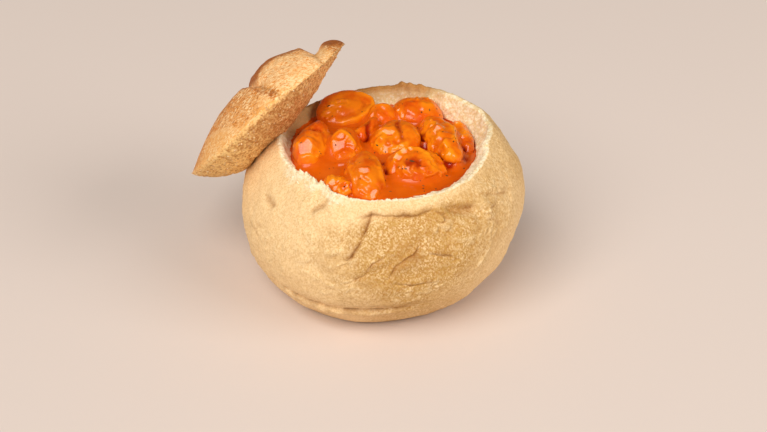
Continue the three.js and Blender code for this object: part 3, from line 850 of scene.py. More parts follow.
def loose_crumb_finish():
    """White torn crumb for loose shreds."""
    finish = Finish("torn_crumb")
    grain = finish.noise(0.5, roughness=0.6)
    colour = crumb_colour(finish, CRUMB, CRUMB_SHADE)
    return finish.surface(colour, 0.8 + 0.1 * grain, finish.bump(grain, 0.15), {"Specular IOR Level": 0.2})


def floor_finish():
    """A plain pale floor."""
    finish = Finish("pale_floor")
    cloud = finish.noise(300.0, roughness=0.5)
    grain = finish.noise(1.2, roughness=0.5)
    colour = finish.blend(0.12 * cloud, FLOOR_BEIGE, FLOOR_SHADE)
    return finish.surface(colour, 0.7 + 0.1 * grain, finish.bump(grain, 0.02), {"Specular IOR Level": 0.2})


def into_loaf(directions):
    """World directions in the leaning loaf's own frame."""
    lean = math.radians(LOAF_LEAN)
    x, y, z = np.moveaxis(directions, -1, 0)
    across = math.cos(lean) * x + math.sin(lean) * z
    up = math.cos(lean) * z - math.sin(lean) * x
    return np.stack([across, y, up], -1)


def rim_height(azimuth):
    """Height of the crust's cut edge, eased between the listed azimuths."""
    turn = half_turn(np.degrees(azimuth))
    turns, heights = np.array(RIM_HEIGHTS, float).T
    index = np.clip(np.searchsorted(turns, turn, side="right") - 1, 0, len(turns) - 2)
    share = (turn - turns[index]) / (turns[index + 1] - turns[index])
    return heights[index] + (heights[index + 1] - heights[index]) * ease(share)


def loaf_places(local):
    """Azimuth and height on the loaf's own surface, both as lengths."""
    azimuth = np.arctan2(local[..., 1], local[..., 0])
    return np.stack([azimuth * LOAF_RADIUS, local[..., 2]], -1)


def on_crust(corners):
    """Azimuths in degrees and heights, as places on the loaf's surface."""
    return [(math.radians(turn) * LOAF_RADIUS, height) for turn, height in corners]


def loaf_reach(azimuth, elevation):
    """The solid loaf's surface by direction from its middle: direction, reach and loaf-frame points."""
    direction = np.stack([np.cos(azimuth), np.sin(azimuth), np.tan(elevation)], -1)
    direction /= np.linalg.norm(direction, axis=-1, keepdims=True)
    local = into_loaf(direction)
    half = np.array([LOAF_RADIUS, LOAF_RADIUS, LOAF_HALF_HEIGHT])
    reach = 1.0 / np.linalg.norm(local / half, axis=-1)
    local = local * reach[..., None]
    places = loaf_places(local)
    relief = lump(local, LOAF_LUMP)
    for start, end, depth, width in DENTS:
        gap, _, _ = route_gap(places, on_crust([start, end]))
        relief -= DENT_SHARE * depth * bell(gap, width)
    return direction, reach + relief, local


def loaf_elevation(azimuth, height):
    """The elevation at which the loaf's surface passes a height."""
    low = np.full_like(azimuth, math.radians(-STEEPEST))
    high = np.full_like(azimuth, math.radians(STEEPEST))
    for _ in range(HALVINGS):
        middle = (low + high) / 2.0
        direction, reach, _ = loaf_reach(azimuth, middle)
        below = direction[..., 2] * reach + LOAF_CENTRE_HEIGHT < height
        low = np.where(below, middle, low)
        high = np.where(below, high, middle)
    return (low + high) / 2.0


def plain_creases():
    """Short creases on the sides and the back, placed by a seeded draw."""
    draw = np.random.default_rng(PLAIN_CREASE_SEED)
    creases = []
    for _ in range(PLAIN_CREASES):
        turn = draw.uniform(15.0, 205.0)
        height = draw.uniform(-24.0, 28.0)
        slope = draw.uniform(-8.0, 8.0)
        length = draw.uniform(6.0, 18.0)
        corners = []
        for share in (0.0, 0.35, 0.7, 1.0):
            bend = draw.uniform(-1.6, 1.6)
            corners.append((half_turn(turn + length * share), height + slope * share + bend))
        if max(corners)[0] - min(corners)[0] < 90.0:
            creases.append((corners, draw.uniform(0.3, 0.9), draw.uniform(0.7, 1.1), 0.3, 0.4))
    return creases


def wrinkle_routes():
    """Short raised wrinkles in patches, placed by a seeded draw."""
    draw = np.random.default_rng(WRINKLE_SEED)
    routes = []
    for (turn, height), (wide, tall), slope, count in WRINKLE_PATCHES:
        for _ in range(count):
            start = (turn + draw.uniform(-wide, wide), height + draw.uniform(-tall, tall))
            run = draw.uniform(2.0, 5.0)
            bend = draw.uniform(-0.8, 0.8)
            climb = slope * draw.uniform(0.6, 1.4)
            middle = (start[0] + 0.5 * run, start[1] + 0.5 * run * climb + bend)
            routes.append([start, middle, (start[0] + run, start[1] + run * climb)])
    return routes


def crust_relief(local):
    """Fine relief of the crust, the painted shade in and under its folds, and how pale its wrinkles and
    flakes.
    """
    far, length = CREASE_WANDER
    wander = np.stack([rough_noise(local, length, seed=3), rough_noise(local, length, seed=7)], -1)
    places = loaf_places(local) + far * wander
    relief = CRUST_WAVE[0] * rough_noise(local, CRUST_WAVE[1], seed=11)
    relief += CRUST_WRINKLE[0] * rough_noise(local * (1.0, 1.0, 1.5), CRUST_WRINKLE[1], seed=17)
    shade = np.zeros(local.shape[:-1])
    uneven = 0.55 + 0.45 * np.clip(2.0 * smooth_noise(local, 4.0, seed=13), -1.0, 1.0)
    for corners, depth, width, lip, dark in CREASES + plain_creases():
        gap, side, along = route_gap(places, on_crust(corners))
        fade = fading_ends(along, -0.02, 0.18)
        relief -= fade * depth * bell(gap, width)
        relief += fade * abs(lip) * bell(side * np.sign(lip) - width - 0.7 * LIP_REACH, LIP_REACH)
        # Painted shade along the crease, and under its rolled lip
        shade = np.maximum(shade, fade * dark * uneven * bell(gap, width))
        rolled = step_between(side * np.sign(lip), -0.3, 0.3) * bell(gap, ROLL_SHADE)
        shade = np.maximum(shade, 0.55 * fade * dark * uneven * rolled)
    raised_paleness = np.zeros(local.shape[:-1])
    rise, width = WRINKLE_LINE
    for route in wrinkle_routes():
        gap, _, along = route_gap(places, on_crust(route))
        line = bell(gap, width) * fading_ends(along, -0.1, 0.3)
        relief += rise * line
        raised_paleness = np.maximum(raised_paleness, line)
    for turn, height, rise, spread, light in FLAKES:
        gap = np.linalg.norm(places - np.array(on_crust([(turn, height)])[0]), axis=-1)
        flake = 1.0 - step_between(gap, 0.6 * spread, 1.2 * spread)
        relief += rise * flake
        raised_paleness = np.maximum(raised_paleness, light * flake)
    return relief, shade, raised_paleness


def gathered_rows(azimuth, low, high):
    """The way up the crust of each row at each azimuth, with the rows closer at the creases."""
    share = np.linspace(0.0, 1.0, OUTSIDE_ROWS)
    _, _, local = loaf_reach(np.tile(azimuth, (OUTSIDE_ROWS, 1)), low + (high - low) * share[:, None])
    places = loaf_places(local)
    crowd = np.ones(places.shape[:-1])
    closeness, reach = CREASE_CROWD
    for corners, *_ in CREASES:
        gap, _, _ = route_gap(places, on_crust(corners))
        crowd = np.maximum(crowd, 1.0 + closeness * bell(gap, reach))
    way = np.cumsum(crowd, axis=0) - crowd[0]
    way /= way[-1]
    return np.stack([np.interp(share, column, share) for column in way.T], -1)


def hollow_column(azimuth, inset):
    """The hollow's wall, from the stew's level down: radius and height of each row."""
    mouth = MOUTH_RADIUS + MOUTH_WAVE * np.sin(3.0 * azimuth + 1.0)
    rows = [(mouth, STEW_LEVEL), ((mouth + HOLLOW_RADIUS) / 2.0, (STEW_LEVEL + HOLLOW_MIDDLE) / 2.0)]
    for turn in np.radians(HOLLOW_TURNS):
        radius = HOLLOW_RADIUS * math.cos(turn) ** HOLLOW_SQUARENESS
        drop = (HOLLOW_MIDDLE - HOLLOW_FLOOR) * math.sin(turn) ** HOLLOW_SQUARENESS
        rows.append((radius + 0.0 * azimuth, HOLLOW_MIDDLE - drop + inset))
    return [ring(azimuth, radius - inset, height) for radius, height in rows]


def torn_share(azimuth):
    """1 where the cut edge is torn, 0 where it is clean."""
    turn = half_turn(np.degrees(azimuth))
    start, end = TORN_RIM
    return step_between(turn, start - 8.0, start + 6.0) * step_between(-turn, -end - 8.0, -end + 6.0)


def browned_share(azimuth):
    """1 where the cut edge is browned, 0 where it is white."""
    turn = np.degrees(azimuth) % 360.0
    start, end = BROWNED_RIM
    return step_between(turn, start - 12.0, start) * step_between(-turn, -end - 12.0, -end)


def round_gap(azimuth, place, radius):
    """How far azimuths lie round the loaf from a place in degrees, as a length."""
    return np.radians(half_turn(np.degrees(azimuth) - place)) * radius


def torn_edge(azimuth):
    """Height of the teeth, shreds and flaps along the cut edge."""
    around = ring(azimuth, RIM_RADIUS, 0.0)
    tooth = smooth_noise(around, 1.3, seed=23) + 0.8 * smooth_noise(around, 3.1, seed=29)
    shred = np.maximum(rough_noise(around, 3.6, seed=27), -0.2)
    spike = np.maximum(smooth_noise(around, 1.2, seed=33), 0.0)
    tooth = 0.4 * np.maximum(tooth, -0.4) + torn_share(azimuth) * (2.0 * shred + 2.0 * spike)
    for place, rise, width in RIM_FLAPS:
        tooth = tooth + rise * bell(round_gap(azimuth, place, RIM_RADIUS), width)
    return tooth


def crumb_swell(azimuth, share, slope):
    """Rise of the crumb's swells and turned-up flap, by the share of the way down its slope."""
    swell = np.zeros((len(share), len(slope)))
    for place, down, rise, spread in CRUMB_SWELLS:
        away = round_gap(azimuth, place, MOUTH_RADIUS)
        swell += rise * bell(np.hypot(away, (share - down) * slope), spread)
    place, down, rise, run, tall = CRUMB_FLAP
    away = round_gap(azimuth, place, MOUTH_RADIUS)
    ramp = step_between(away, -0.8, 0.2) * (1.0 - step_between(away, 0.2 * run, run))
    return swell + rise * ramp * bell((share - down) * slope, tall)


def crumb_slope(azimuth, edge):
    """The torn crumb between the crust's edge and the stew: points, and pores to shade."""
    radius = flat_gap(edge)
    height = edge[..., 2]
    foot = hollow_column(azimuth, 0.0)[0]
    foot_radius = flat_gap(foot)
    tooth = torn_edge(azimuth)
    tip = ring(azimuth, radius - CRUST_THICKNESS, height + RIM_LIP + tooth)
    shoulder = ring(azimuth, radius - 2.0 * CRUST_THICKNESS, height - RIM_LIP + 0.3 * tooth)
    rows = [edge + (tip - edge) * share for share in (0.3, 0.65, 1.0)]
    rows += [tip + (shoulder - tip) * share for share in (0.5, 1.0)]
    slope = np.hypot(radius - foot_radius, height - STEW_LEVEL)
    inward = -(height - STEW_LEVEL) / slope
    upward = (radius - foot_radius) / slope
    normal = np.stack([inward * np.cos(azimuth), inward * np.sin(azimuth), upward], -1)
    downward = np.linspace(0.0, 1.0, CRUMB_ROWS + 1)[1:]
    for share in downward:
        point = shoulder + (foot - shoulder) * share
        window = math.sin(math.pi * share)
        point[..., 2] += window * (lump(point, CRUMB_LUMP) - CRUMB_HOLLOW)
        rows.append(point)
    points = np.stack(rows)
    share = np.concatenate([np.zeros(LIP_ROWS), downward])[:, None]
    holes = 0.6 * pore_depth(points, 3.2, seed=31, spread=0.4)
    holes += 0.6 * pore_depth(points, 1.5, seed=37, spread=0.45)
    rough = 0.45 * rough_noise(points, 3.0, seed=43) + crumb_swell(azimuth, share, slope) - 0.45 * holes
    fade = step_between(share, -0.02, 0.1) * step_between(1.0 - share, -0.05, 0.06)
    points = points + normal * (rough * fade)[..., None]
    ragged = 0.22 * rough_noise(points[:LIP_ROWS], 1.1, seed=47)
    points[:LIP_ROWS] += ragged[..., None] * np.array([0.6, 0.6, 1.0])
    return points, holes


def crust_toast_and_light(local, outside):
    """How brown the crust is: in front, partly as painted shade, on the crown at the back and right, and
    on the right flank; paler low on the front and flank, as painted light bounced up from below.
    """
    middle, spread = FRONT_TOAST_AND_SHADE
    height = local[..., 2]
    front = bell(loaf_places(local)[..., 0] - math.radians(middle) * LOAF_RADIUS, spread)
    front *= 1.0 - step_between(height, 22.0, 31.0)
    crown = step_between(height, 22.0, 44.0)
    back = step_between(outside[..., 1], 20.0, 55.0)
    right = step_between(outside[..., 0], 20.0, 60.0)
    # Low on the front and the right flank the crust is painted paler, as light bounced up from below
    flank = right * (1.0 - 0.6 * front) * step_between(height, -25.0, 15.0)
    above_bounce = step_between(height, -30.0, 12.0)
    return (0.24 + 0.3 * above_bounce) * front + crown * (0.2 * right + 0.4 * back) + 0.2 * flank


def crumb_toast_and_shade(azimuth, rows):
    """How brown the torn crumb is, row by row from the cut edge down to the stew, with painted shade where
    the lid's shadow falls.
    """
    down = np.linspace(0.0, 1.0, rows)[:, None]
    browner_back = 0.9 * step_between(np.sin(azimuth), 0.55, 0.95) * (1.0 - 0.7 * down)
    # Painted shade: the crumb behind the lid is browned as the lid's shadow
    lid_shadow = step_between(np.cos(azimuth - math.radians(LID_SHADOW_TURN)), 0.7, 0.97)
    browner_wall = 0.32 * step_between(np.cos(azimuth - math.radians(BROWNER_CRUMB_TURN)), 0.4, 0.9)
    toast_and_painted_light = np.maximum(np.maximum(browner_back, browner_wall), 0.95 * lid_shadow)
    toast_and_painted_light[:BROWNED_ROWS] = np.maximum(toast_and_painted_light[:BROWNED_ROWS], 0.6 * browned_share(azimuth))
    return toast_and_painted_light


def blank_measures(rings):
    """The numbers that a bread's material reads, all zero."""
    return {name: np.zeros(rings.shape[:-1]) for name in BREAD_MEASURES}


def loaf_mesh():
    """The hollowed loaf, one closed skin from its base over the crust and the crumb to its hollow."""
    azimuth = all_round(LOAF_SECTORS)
    azimuth = azimuth - FRONT_FINENESS * np.cos(azimuth)
    around = ring(azimuth, RIM_RADIUS, 0.0)
    torn = torn_share(azimuth)
    uneven = 0.3 * smooth_noise(around, 2.4, seed=5) + 0.35 * smooth_noise(around, 7.0, seed=6)
    low = loaf_elevation(azimuth, 0.0)
    high = loaf_elevation(azimuth, rim_height(azimuth) + (0.6 + 0.9 * torn) * uneven)
    elevation = low + (high - low) * gathered_rows(azimuth, low, high)
    direction, reach, local = loaf_reach(np.tile(azimuth, (OUTSIDE_ROWS, 1)), elevation)
    relief, fold, raised_paleness = crust_relief(local)
    foot_fade = step_between(direction[..., 2] * reach + LOAF_CENTRE_HEIGHT, 0.0, 5.0)
    outside = direction * (reach + relief * foot_fade)[..., None]
    outside[..., 2] += LOAF_CENTRE_HEIGHT
    outside[0, :, 2] = 0.0
    crumb, holes = crumb_slope(azimuth, outside[-1])
    hollow = np.stack(hollow_column(azimuth, 0.0)[1:])
    rings = np.concatenate([outside[:1] * 0.5, outside, crumb, hollow])
    cut = 1 + OUTSIDE_ROWS
    crust_rows = slice(1, cut)
    crumb_rows = slice(cut, cut + len(crumb))
    measures = blank_measures(rings)
    below_rim = outside[-1, :, 2] - outside[..., 2]
    ragged = 0.6 * rough_noise(outside, 2.2, seed=53) + 1.0
    edge = step_between(smooth_noise(around, 2.0, seed=51), -0.6, 0.6)
    browned = browned_share(azimuth)
    white = measures["crumb"]
    white[crust_rows] = 0.8 * torn * (1.0 - step_between(below_rim * ragged, 0.4, 3.2))
    white[cut] = 0.25 + 0.5 * edge
    white[cut + 1:] = 1.0
    white[cut:cut + LIP_ROWS] *= 1.0 - 0.95 * browned
    white[cut + LIP_ROWS:cut + BROWNED_ROWS] *= 1.0 - 0.5 * browned
    # Painted shade in the crumb's pores, deepest in the lid's shadow
    shaded = 0.5 + 0.5 * np.cos(azimuth - math.radians(PORE_SHADE))
    measures["fold"][crust_rows] = fold
    measures["fold"][crumb_rows] = (0.08 + 0.4 * shaded) * np.clip(holes, 0.0, 1.0) ** 2
    measures["toast_and_painted_light"][crust_rows] = crust_toast_and_light(local, outside)
    measures["toast_and_painted_light"][crumb_rows] = crumb_toast_and_shade(azimuth, len(crumb))
    measures["soak"][crumb_rows] = step_between(STEW_LEVEL - crumb[..., 2], -0.8, 0.0)
    measures["soak"][cut + len(crumb):] = 1.0
    measures["pale"][crust_rows] = 0.7 * raised_paleness
    return closed_skin("loaf", rings, (0.0, 0.0, 0.0), (0.0, 0.0, HOLLOW_FLOOR), measures)


def inside_loaf(points):
    """Which points lie in the space that the filled loaf takes up, with a gap round it."""
    offset = points - (0.0, 0.0, LOAF_CENTRE_HEIGHT)
    azimuth = np.arctan2(offset[..., 1], offset[..., 0])
    _, reach, _ = loaf_reach(azimuth, np.arctan2(offset[..., 2], flat_gap(offset)))
    within = np.linalg.norm(offset, axis=-1) < reach + REST_GAP
    return within & (points[..., 2] < rim_height(azimuth) + RIM_LIP + REST_GAP)


def lid_axes():
    """The lid's own axes: along it, across it away from the viewer, and out of its crust."""
    up = -LID_CRUMB_NORMAL / np.linalg.norm(LID_CRUMB_NORMAL)
    across = np.cross(up, LID_LONG_AXIS)
    across /= np.linalg.norm(across)
    return np.stack([np.cross(across, up), across, up])


def lid_edge_height(x):
    """Height of the lid's edge along its length."""
    height, place, length = LID_EDGE_STEP
    return -height * np.tanh((x - place) / length)


def lid_crust(x, y, azimuth, share):
    """Height of the lid's crust, with how much of it is an open slash, browned ridge, and painted shade in
    the fold of a slash.
    """
    bluntness = LID_BLUNTNESS - LID_BLUNTNESS_SWING * np.cos(azimuth)
    rise = np.clip(1.0 - share * share, 0.0, 1.0) ** bluntness
    flat = np.stack([x, y, 0.0 * x], -1)
    height = lid_edge_height(x) * share + LID_CRUST_HEIGHT * rise
    open_slash = np.zeros_like(x)
    ridge = np.zeros_like(x)
    fold = np.zeros_like(x)
    crest = step_between(y + 3.0 * rough_noise(flat, 8.0, seed=65), *EAR_CREST)
    wander, length = SLASH_WANDER
    lip_height, lip_width = SLASH_LIP
    for number, (place, slant, depth, near, far, ear, reach) in enumerate(LID_SLASHES):
        offset = x - place + slant * y + wander * rough_noise(flat, length, seed=60 + number)
        height -= rise * rise * depth * bell(offset, np.where(offset < 0.0, near, far))
        height += rise * ear * bell(offset - EAR_OFFSET, EAR_WIDTH)
        lip = bell(offset + 1.1 * near, lip_width)
        height += lip_height * rise * lip
        ridge = np.maximum(ridge, lip)
        opened = step_between(offset + 0.07 * y, -1.5, 1.0) * step_between(reach - offset, -2.0, 2.0)
        if reach > EAR_OFFSET:
            ridge = np.maximum(ridge, opened * crest)
            opened = opened * (1.0 - crest * step_between(offset, 1.0, 4.0))
        open_slash = np.maximum(open_slash, opened)
        # Painted shade in the bottom of each slash
        fold = np.maximum(fold, 0.5 * bell(offset + 0.4, 0.9))
    strands = smooth_noise(flat * (0.45, 1.0, 1.0), 1.4, seed=67) + 0.8 * smooth_noise(flat, 2.8, seed=68)
    height += rise * (0.6 * open_slash * strands + 0.4 * rough_noise(flat, 9.0, seed=71))
    height += rise * 0.26 * rough_noise(flat * (0.5, 1.0, 1.0), 2.6, seed=73)
    return height, open_slash, ridge, fold


def lid_outline(azimuth):
    """The lid's radius, a little out of round."""
    wave = sum(height * np.sin(count * azimuth + phase) for count, height, phase in LID_WAVES)
    return LID_RADIUS * (1.0 + wave)


def lid_browning(crust, shares, ridge, open_slash):
    """How brown and how opened the lid's crust is."""
    x, y, _ = np.moveaxis(crust, -1, 0)
    top_skin = step_between(y, -30.0, -4.0)
    far_end = step_between(x, 39.0, 44.0)
    back_edge = step_between(y, 2.0, 24.0)
    brown = 0.17 + 0.38 * top_skin + 0.35 * back_edge + 0.4 * ridge + 0.6 * far_end - 0.4 * open_slash
    brown -= 0.2 * step_between(shares, 0.95, 1.0)
    slant, place = LID_SEAM
    seam = x + slant * y + place + 1.2 * rough_noise(crust, 5.0, seed=91)
    brown += 0.2 * step_between(seam, -0.5, 1.5) * step_between(-x, -14.0, -6.0) - 0.1
    opened = open_slash + 0.6 * bell(seam + 1.4, 1.3)
    for along, across, radius, browning, paleness in LID_MARKS:
        spot = bell(flat_gap(crust, along, across), radius)
        brown += browning * spot
        opened += paleness * spot
    return np.clip(brown, 0.0, 1.0), np.clip(opened, 0.0, 1.0)


def lid_mesh():
    """The cut-off cap: crumb below, slashed crust above, one closed skin."""
    azimuth = all_round(LID_SECTORS)
    outline = lid_outline(azimuth)
    inner = np.linspace(0.0, 1.0, LID_CRUMB_ROWS + 1)[1:-1, None]
    crumb = ring(azimuth, outline * inner, 0.0)
    depth = LID_CRUMB_DEPTH - LID_CRUMB_SLOPE * crumb[..., 0]
    crumb[..., 2] = lump(crumb, LID_LUMP) - depth * (1.0 - inner**3)
    holes = pore_depth(crumb, 3.6, seed=81, spread=0.5)
    holes += 0.5 * pore_depth(crumb, 1.7, seed=83, spread=0.5)
    rough = 0.7 * rough_noise(crumb, 4.0, seed=87) - 0.6 * holes
    crumb[..., 2] -= rough * step_between(1.0 - inner, 0.0, 0.06)
    edge = ring(azimuth, outline, 0.0)
    edge[..., 2] = lid_edge_height(edge[..., 0])
    edge[..., 2] += 0.35 * rough_noise(edge, 2.2, seed=89)
    outer = 1.0 - np.linspace(0.0, 1.0, LID_CRUST_ROWS + 1)[1:-1, None] ** 1.3
    crust = ring(azimuth, outline * outer, 0.0)
    turns = np.broadcast_to(azimuth, crust.shape[:-1])
    shares = np.broadcast_to(outer, crust.shape[:-1])
    crust[..., 2], open_slash, ridge, fold = lid_crust(crust[..., 0], crust[..., 1], turns, shares)
    top = lid_crust(np.zeros(1), np.zeros(1), np.zeros(1), np.zeros(1))[0][0]
    rings = np.concatenate([crumb, edge[None], crust])
    axes = lid_axes()
    poles = np.array([[0.0, 0.0, -LID_CRUMB_DEPTH], [0.0, 0.0, top]]) @ axes + LID_CENTRE
    world = rings @ axes + LID_CENTRE
    rows = len(crumb)
    under = world[:rows]
    for _ in range(LIFTS):
        under[inside_loaf(under)] += LIFT * axes[2]
    measures = blank_measures(rings)
    measures["crumb"][:rows] = 1.0
    measures["crumb"][rows] = 0.4
    # Painted shade in the pores of the lid's crumb, and in its slashes
    measures["fold"][:rows] = 0.4 * np.clip(holes, 0.0, 1.0) ** 2
    measures["fold"][rows + 1:] = fold
    # Painted shade across the middle of the lid's crumb, lighter towards both its ends
    tip = 0.7 * step_between(crumb[..., 0], 5.0, 35.0)
    brown, opened = lid_browning(crust, shares, ridge, open_slash)
    measures["toast_and_painted_light"][:rows] = 0.43 * step_between(crumb[..., 0], -34.0, -10.0) * (1.0 - tip)
    measures["toast_and_painted_light"][rows + 1:] = brown
    measures["pale"][rows + 1:] = 0.9 * opened
    return closed_skin("lid", world, poles[0], poles[1], measures)


def even_skin(node):
    """A node's own solid as one evenly meshed, softened skin."""
    shell = bpy.data.objects.new("shell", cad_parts[node].data.copy())
    bpy.context.scene.collection.objects.link(shell)
    work = bmesh.new()
    work.from_mesh(shell.data)
    bmesh.ops.remove_doubles(work, verts=work.verts, dist=CHUNK_WELD * MM)
    work.to_mesh(shell.data)
    work.free()
    remesh = shell.modifiers.new("Even skin", "REMESH")
    remesh.mode = "VOXEL"
    remesh.voxel_size = CHUNK_STEP * MM
    soften = shell.modifiers.new("Soft edges", "SMOOTH")
    soften.factor, soften.iterations = CHUNK_SOFTENING
    graph = bpy.context.evaluated_depsgraph_get()
    mesh = bpy.data.meshes.new_from_object(shell.evaluated_get(graph))
    rough = shell.data
    bpy.data.objects.remove(shell)
    bpy.data.meshes.remove(rough)
    mesh.shade_smooth()
    return mesh


def glint_way():
    """The way a flat place faces when it throws the key light at the camera."""
    eye = bpy.context.scene.camera.location - Vector(LIT_POINT)
    key = Vector(KEY_PLACE) - Vector(LIT_POINT)
    return np.array((eye.normalized() + key.normalized()).normalized())


def pat_flat(points, normals, places, way):
    """Flattens a piece's skin at places, so that it faces one way there."""
    for x, y, radius in places:
        aside = flat_gap(points, x, y)
        centre = points[np.argmin(np.where(normals[:, 2] > 0.05, aside, np.inf))]
        uneven = 0.5 * radius * smooth_noise(points, 0.8 * radius, seed=303)
        gap = np.linalg.norm(points - centre, axis=-1) + uneven
        share = 1.0 - step_between(gap, 0.7 * radius, 1.5 * radius)
        fall = FACET_DOME * gap * gap / radius
        rise = np.clip((centre - points) @ way - fall, -FACET_REACH, FACET_REACH)
        points = points + (share * rise)[:, None] * way
    return points


def chunk_mesh(node, look, seed):
    """A coated piece: its solid's skin with lumps, knobs, fibres, drawn lines and flat places."""
    mesh = even_skin(node)
    points = mesh_points(mesh)
    normals = mesh_normals(mesh)
    height, size = look["lumps"]
    relief = LUMP_STRENGTH * height * rough_noise(points, size, seed)
    pale = 0.35 * step_between(smooth_noise(points, 5.0, seed + 1), -0.2, 0.8)
    if "knobs" in look:
        rise, size, towards = look["knobs"]
        facing = step_between(normals @ unit(towards), -0.1, 0.6)
        knobs = 1.0 - 2.0 * np.abs(smooth_noise(points, size, seed + 2))
        relief += rise * facing * knobs
        pale += 0.35 * facing * np.clip(knobs, 0.0, 1.0)
    rise, way = look["fibres"]
    grain = unit(way)
    squeezed = points - FIBRE_SQUEEZE * (points @ grain)[:, None] * grain
    relief += rise * smooth_noise(squeezed, FIBRE_SIZE, seed + 3)
    upper = step_between(normals[:, 2], -0.3, 0.3)
    bead = pore_depth(points, BEAD_SIZE, seed + 7, spread=0.6)
    for x, y, reach in look.get("beads", []):
        near = upper * (1.0 - step_between(flat_gap(points, x, y), 0.6 * reach, reach))
        relief += BEAD_HEIGHT * near * bead
        pale += 0.3 * near * bead
    # sunk marks the piece's hollows for painted shade
    sunk = np.zeros(len(points))
    far, length = LINE_WANDER
    wander = np.stack([smooth_noise(points, length, seed + 4), smooth_noise(points, length, seed + 5)], -1)
    places = points[:, :2] + far * wander
    for corners, rise, width in look["lines"]:
        gap, _, along = route_gap(places, corners)
        line = rise * upper * fading_ends(along, -0.05, 0.2) * bell(gap, width)
        relief += line
        pale += 0.6 * np.maximum(line, 0.0)
        sunk += 0.25 * np.maximum(-line, 0.0)
    pale += 0.45 * step_between(relief, 0.1, 1.2)
    sunk += 0.35 * step_between(-relief, 0.2, 1.5)
    shaped = points + normals * (relief + CHUNK_COAT)[:, None]
    shaped = pat_flat(shaped, normals, look.get("quiet", []), np.array(QUIET_WAY))
    shaped = pat_flat(shaped, normals, look.get("bright", []), glint_way())
    shaped += normals * (look["ripple"] * smooth_noise(points, RIPPLE_SIZE, seed + 6))[:, None]
    set_mesh_points(mesh, shaped)
    return mesh, np.clip(pale, 0.0, 1.0), np.clip(sunk, 0.0, 1.0)


def joined(meshes, *rules):
    """The points of several meshes, in millimetres, and those of their faces that every rule keeps."""
    corners = []
    faces = []
    for mesh in meshes:
        start = len(corners)
        corners += mesh_points(mesh).tolist()
        for face in mesh.polygons:
            if all(keep(face.center / MM, face.normal) for keep in rules):
                faces.append([start + index for index in face.vertices])
    return corners, faces


def surface_of(meshes):
    """One search tree over the faces of several meshes, in millimetres."""
    return BVHTree.FromPolygons(*joined(meshes))


def ground_of(meshes, *rules):
    """The faces of some meshes that every rule keeps, as one loose mesh to scatter on."""
    corners, faces = joined(meshes, *rules)
    ground = bpy.data.meshes.new("ground")
    ground.from_pydata((np.array(corners) * MM).tolist(), [], faces)
    return ground


def drop_onto(surface, x, y):
    """Where something dropped at a place lands on a surface, and how the surface faces there."""
    hit, normal, _, _ = surface.ray_cast(Vector((x, y, HIGH_ABOVE)), Vector((0.0, 0.0, -1.0)))
    return hit, normal


def height_over(surface, places):
    """Height of a surface straight below each place."""
    heights = np.full(len(places), NOTHING_BELOW)
    for index, (x, y) in enumerate(places):
        hit, _ = drop_onto(surface, x, y)
        if hit:
            heights[index] = hit.z
    return heights


def field_places():
    """Level ground over the bowl's mouth, as a square grid of places."""
    axis = np.arange(-FIELD_REACH, FIELD_REACH, FIELD_STEP)
    return np.stack(np.meshgrid(axis, axis, indexing="ij"), -1)


def evened(field, spread):
    """A field of heights evened out over a spread."""
    reach = int(3.0 * spread / FIELD_STEP)
    weights = bell(np.arange(-reach, reach + 1) * FIELD_STEP, spread)
    weights /= weights.sum()
    for axis in (0, 1):
        field = np.apply_along_axis(np.convolve, axis, field, weights, "same")
    return field


def field_at(field, points):
    """A field's heights at points between its places."""
    scaled = np.clip((points[..., :2] + FIELD_REACH) / FIELD_STEP, 0.0, len(field) - 1.001)
    base = np.floor(scaled).astype(int)
    share = scaled - base
    total = np.zeros(points.shape[:-1])
    for corner in np.ndindex(2, 2):
        weight = np.prod(np.where(corner, share, 1.0 - share), axis=-1)
        total += weight * field[base[..., 0] + corner[0], base[..., 1] + corner[1]]
    return total


def pool_height(points):
    """How far the open sauce stands above the stew's level at the wall."""
    share = flat_gap(points) / MOUTH_RADIUS
    flat = np.stack([points[..., 0], points[..., 1], np.full_like(share, STEW_LEVEL)], -1)
    heap = STEW_HEAP * np.clip(1.0 - share * share, 0.0, 1.0)
    height = heap + lump(flat, STEW_LUMP) + 0.25 * rough_noise(flat, 11.0, seed=101, octaves=2)
    for route, rise, width in SAUCE_RIDGES:
        gap, _, along = route_gap(flat[..., :2], route)
        height += rise * fading_ends(along, -0.05, 0.25) * bell(gap, width)
    return height


def deep_share(points):
    """1 in the crevices between pieces that the sauce leaves open, 0 elsewhere."""
    share = np.zeros(points.shape[:-1])
    for x, y, spread in DEEP_SPOTS:
        share = np.maximum(share, bell(flat_gap(points, x, y), spread))
    return share


def stew_field(chunk_surface):
    """The heap's height above the stew's level: the pieces, or the sauce where there is none."""
    places = field_places()
    chunks = height_over(chunk_surface, places.reshape(-1, 2)).reshape(places.shape[:-1])
    return np.maximum(chunks - STEW_LEVEL, pool_height(places))


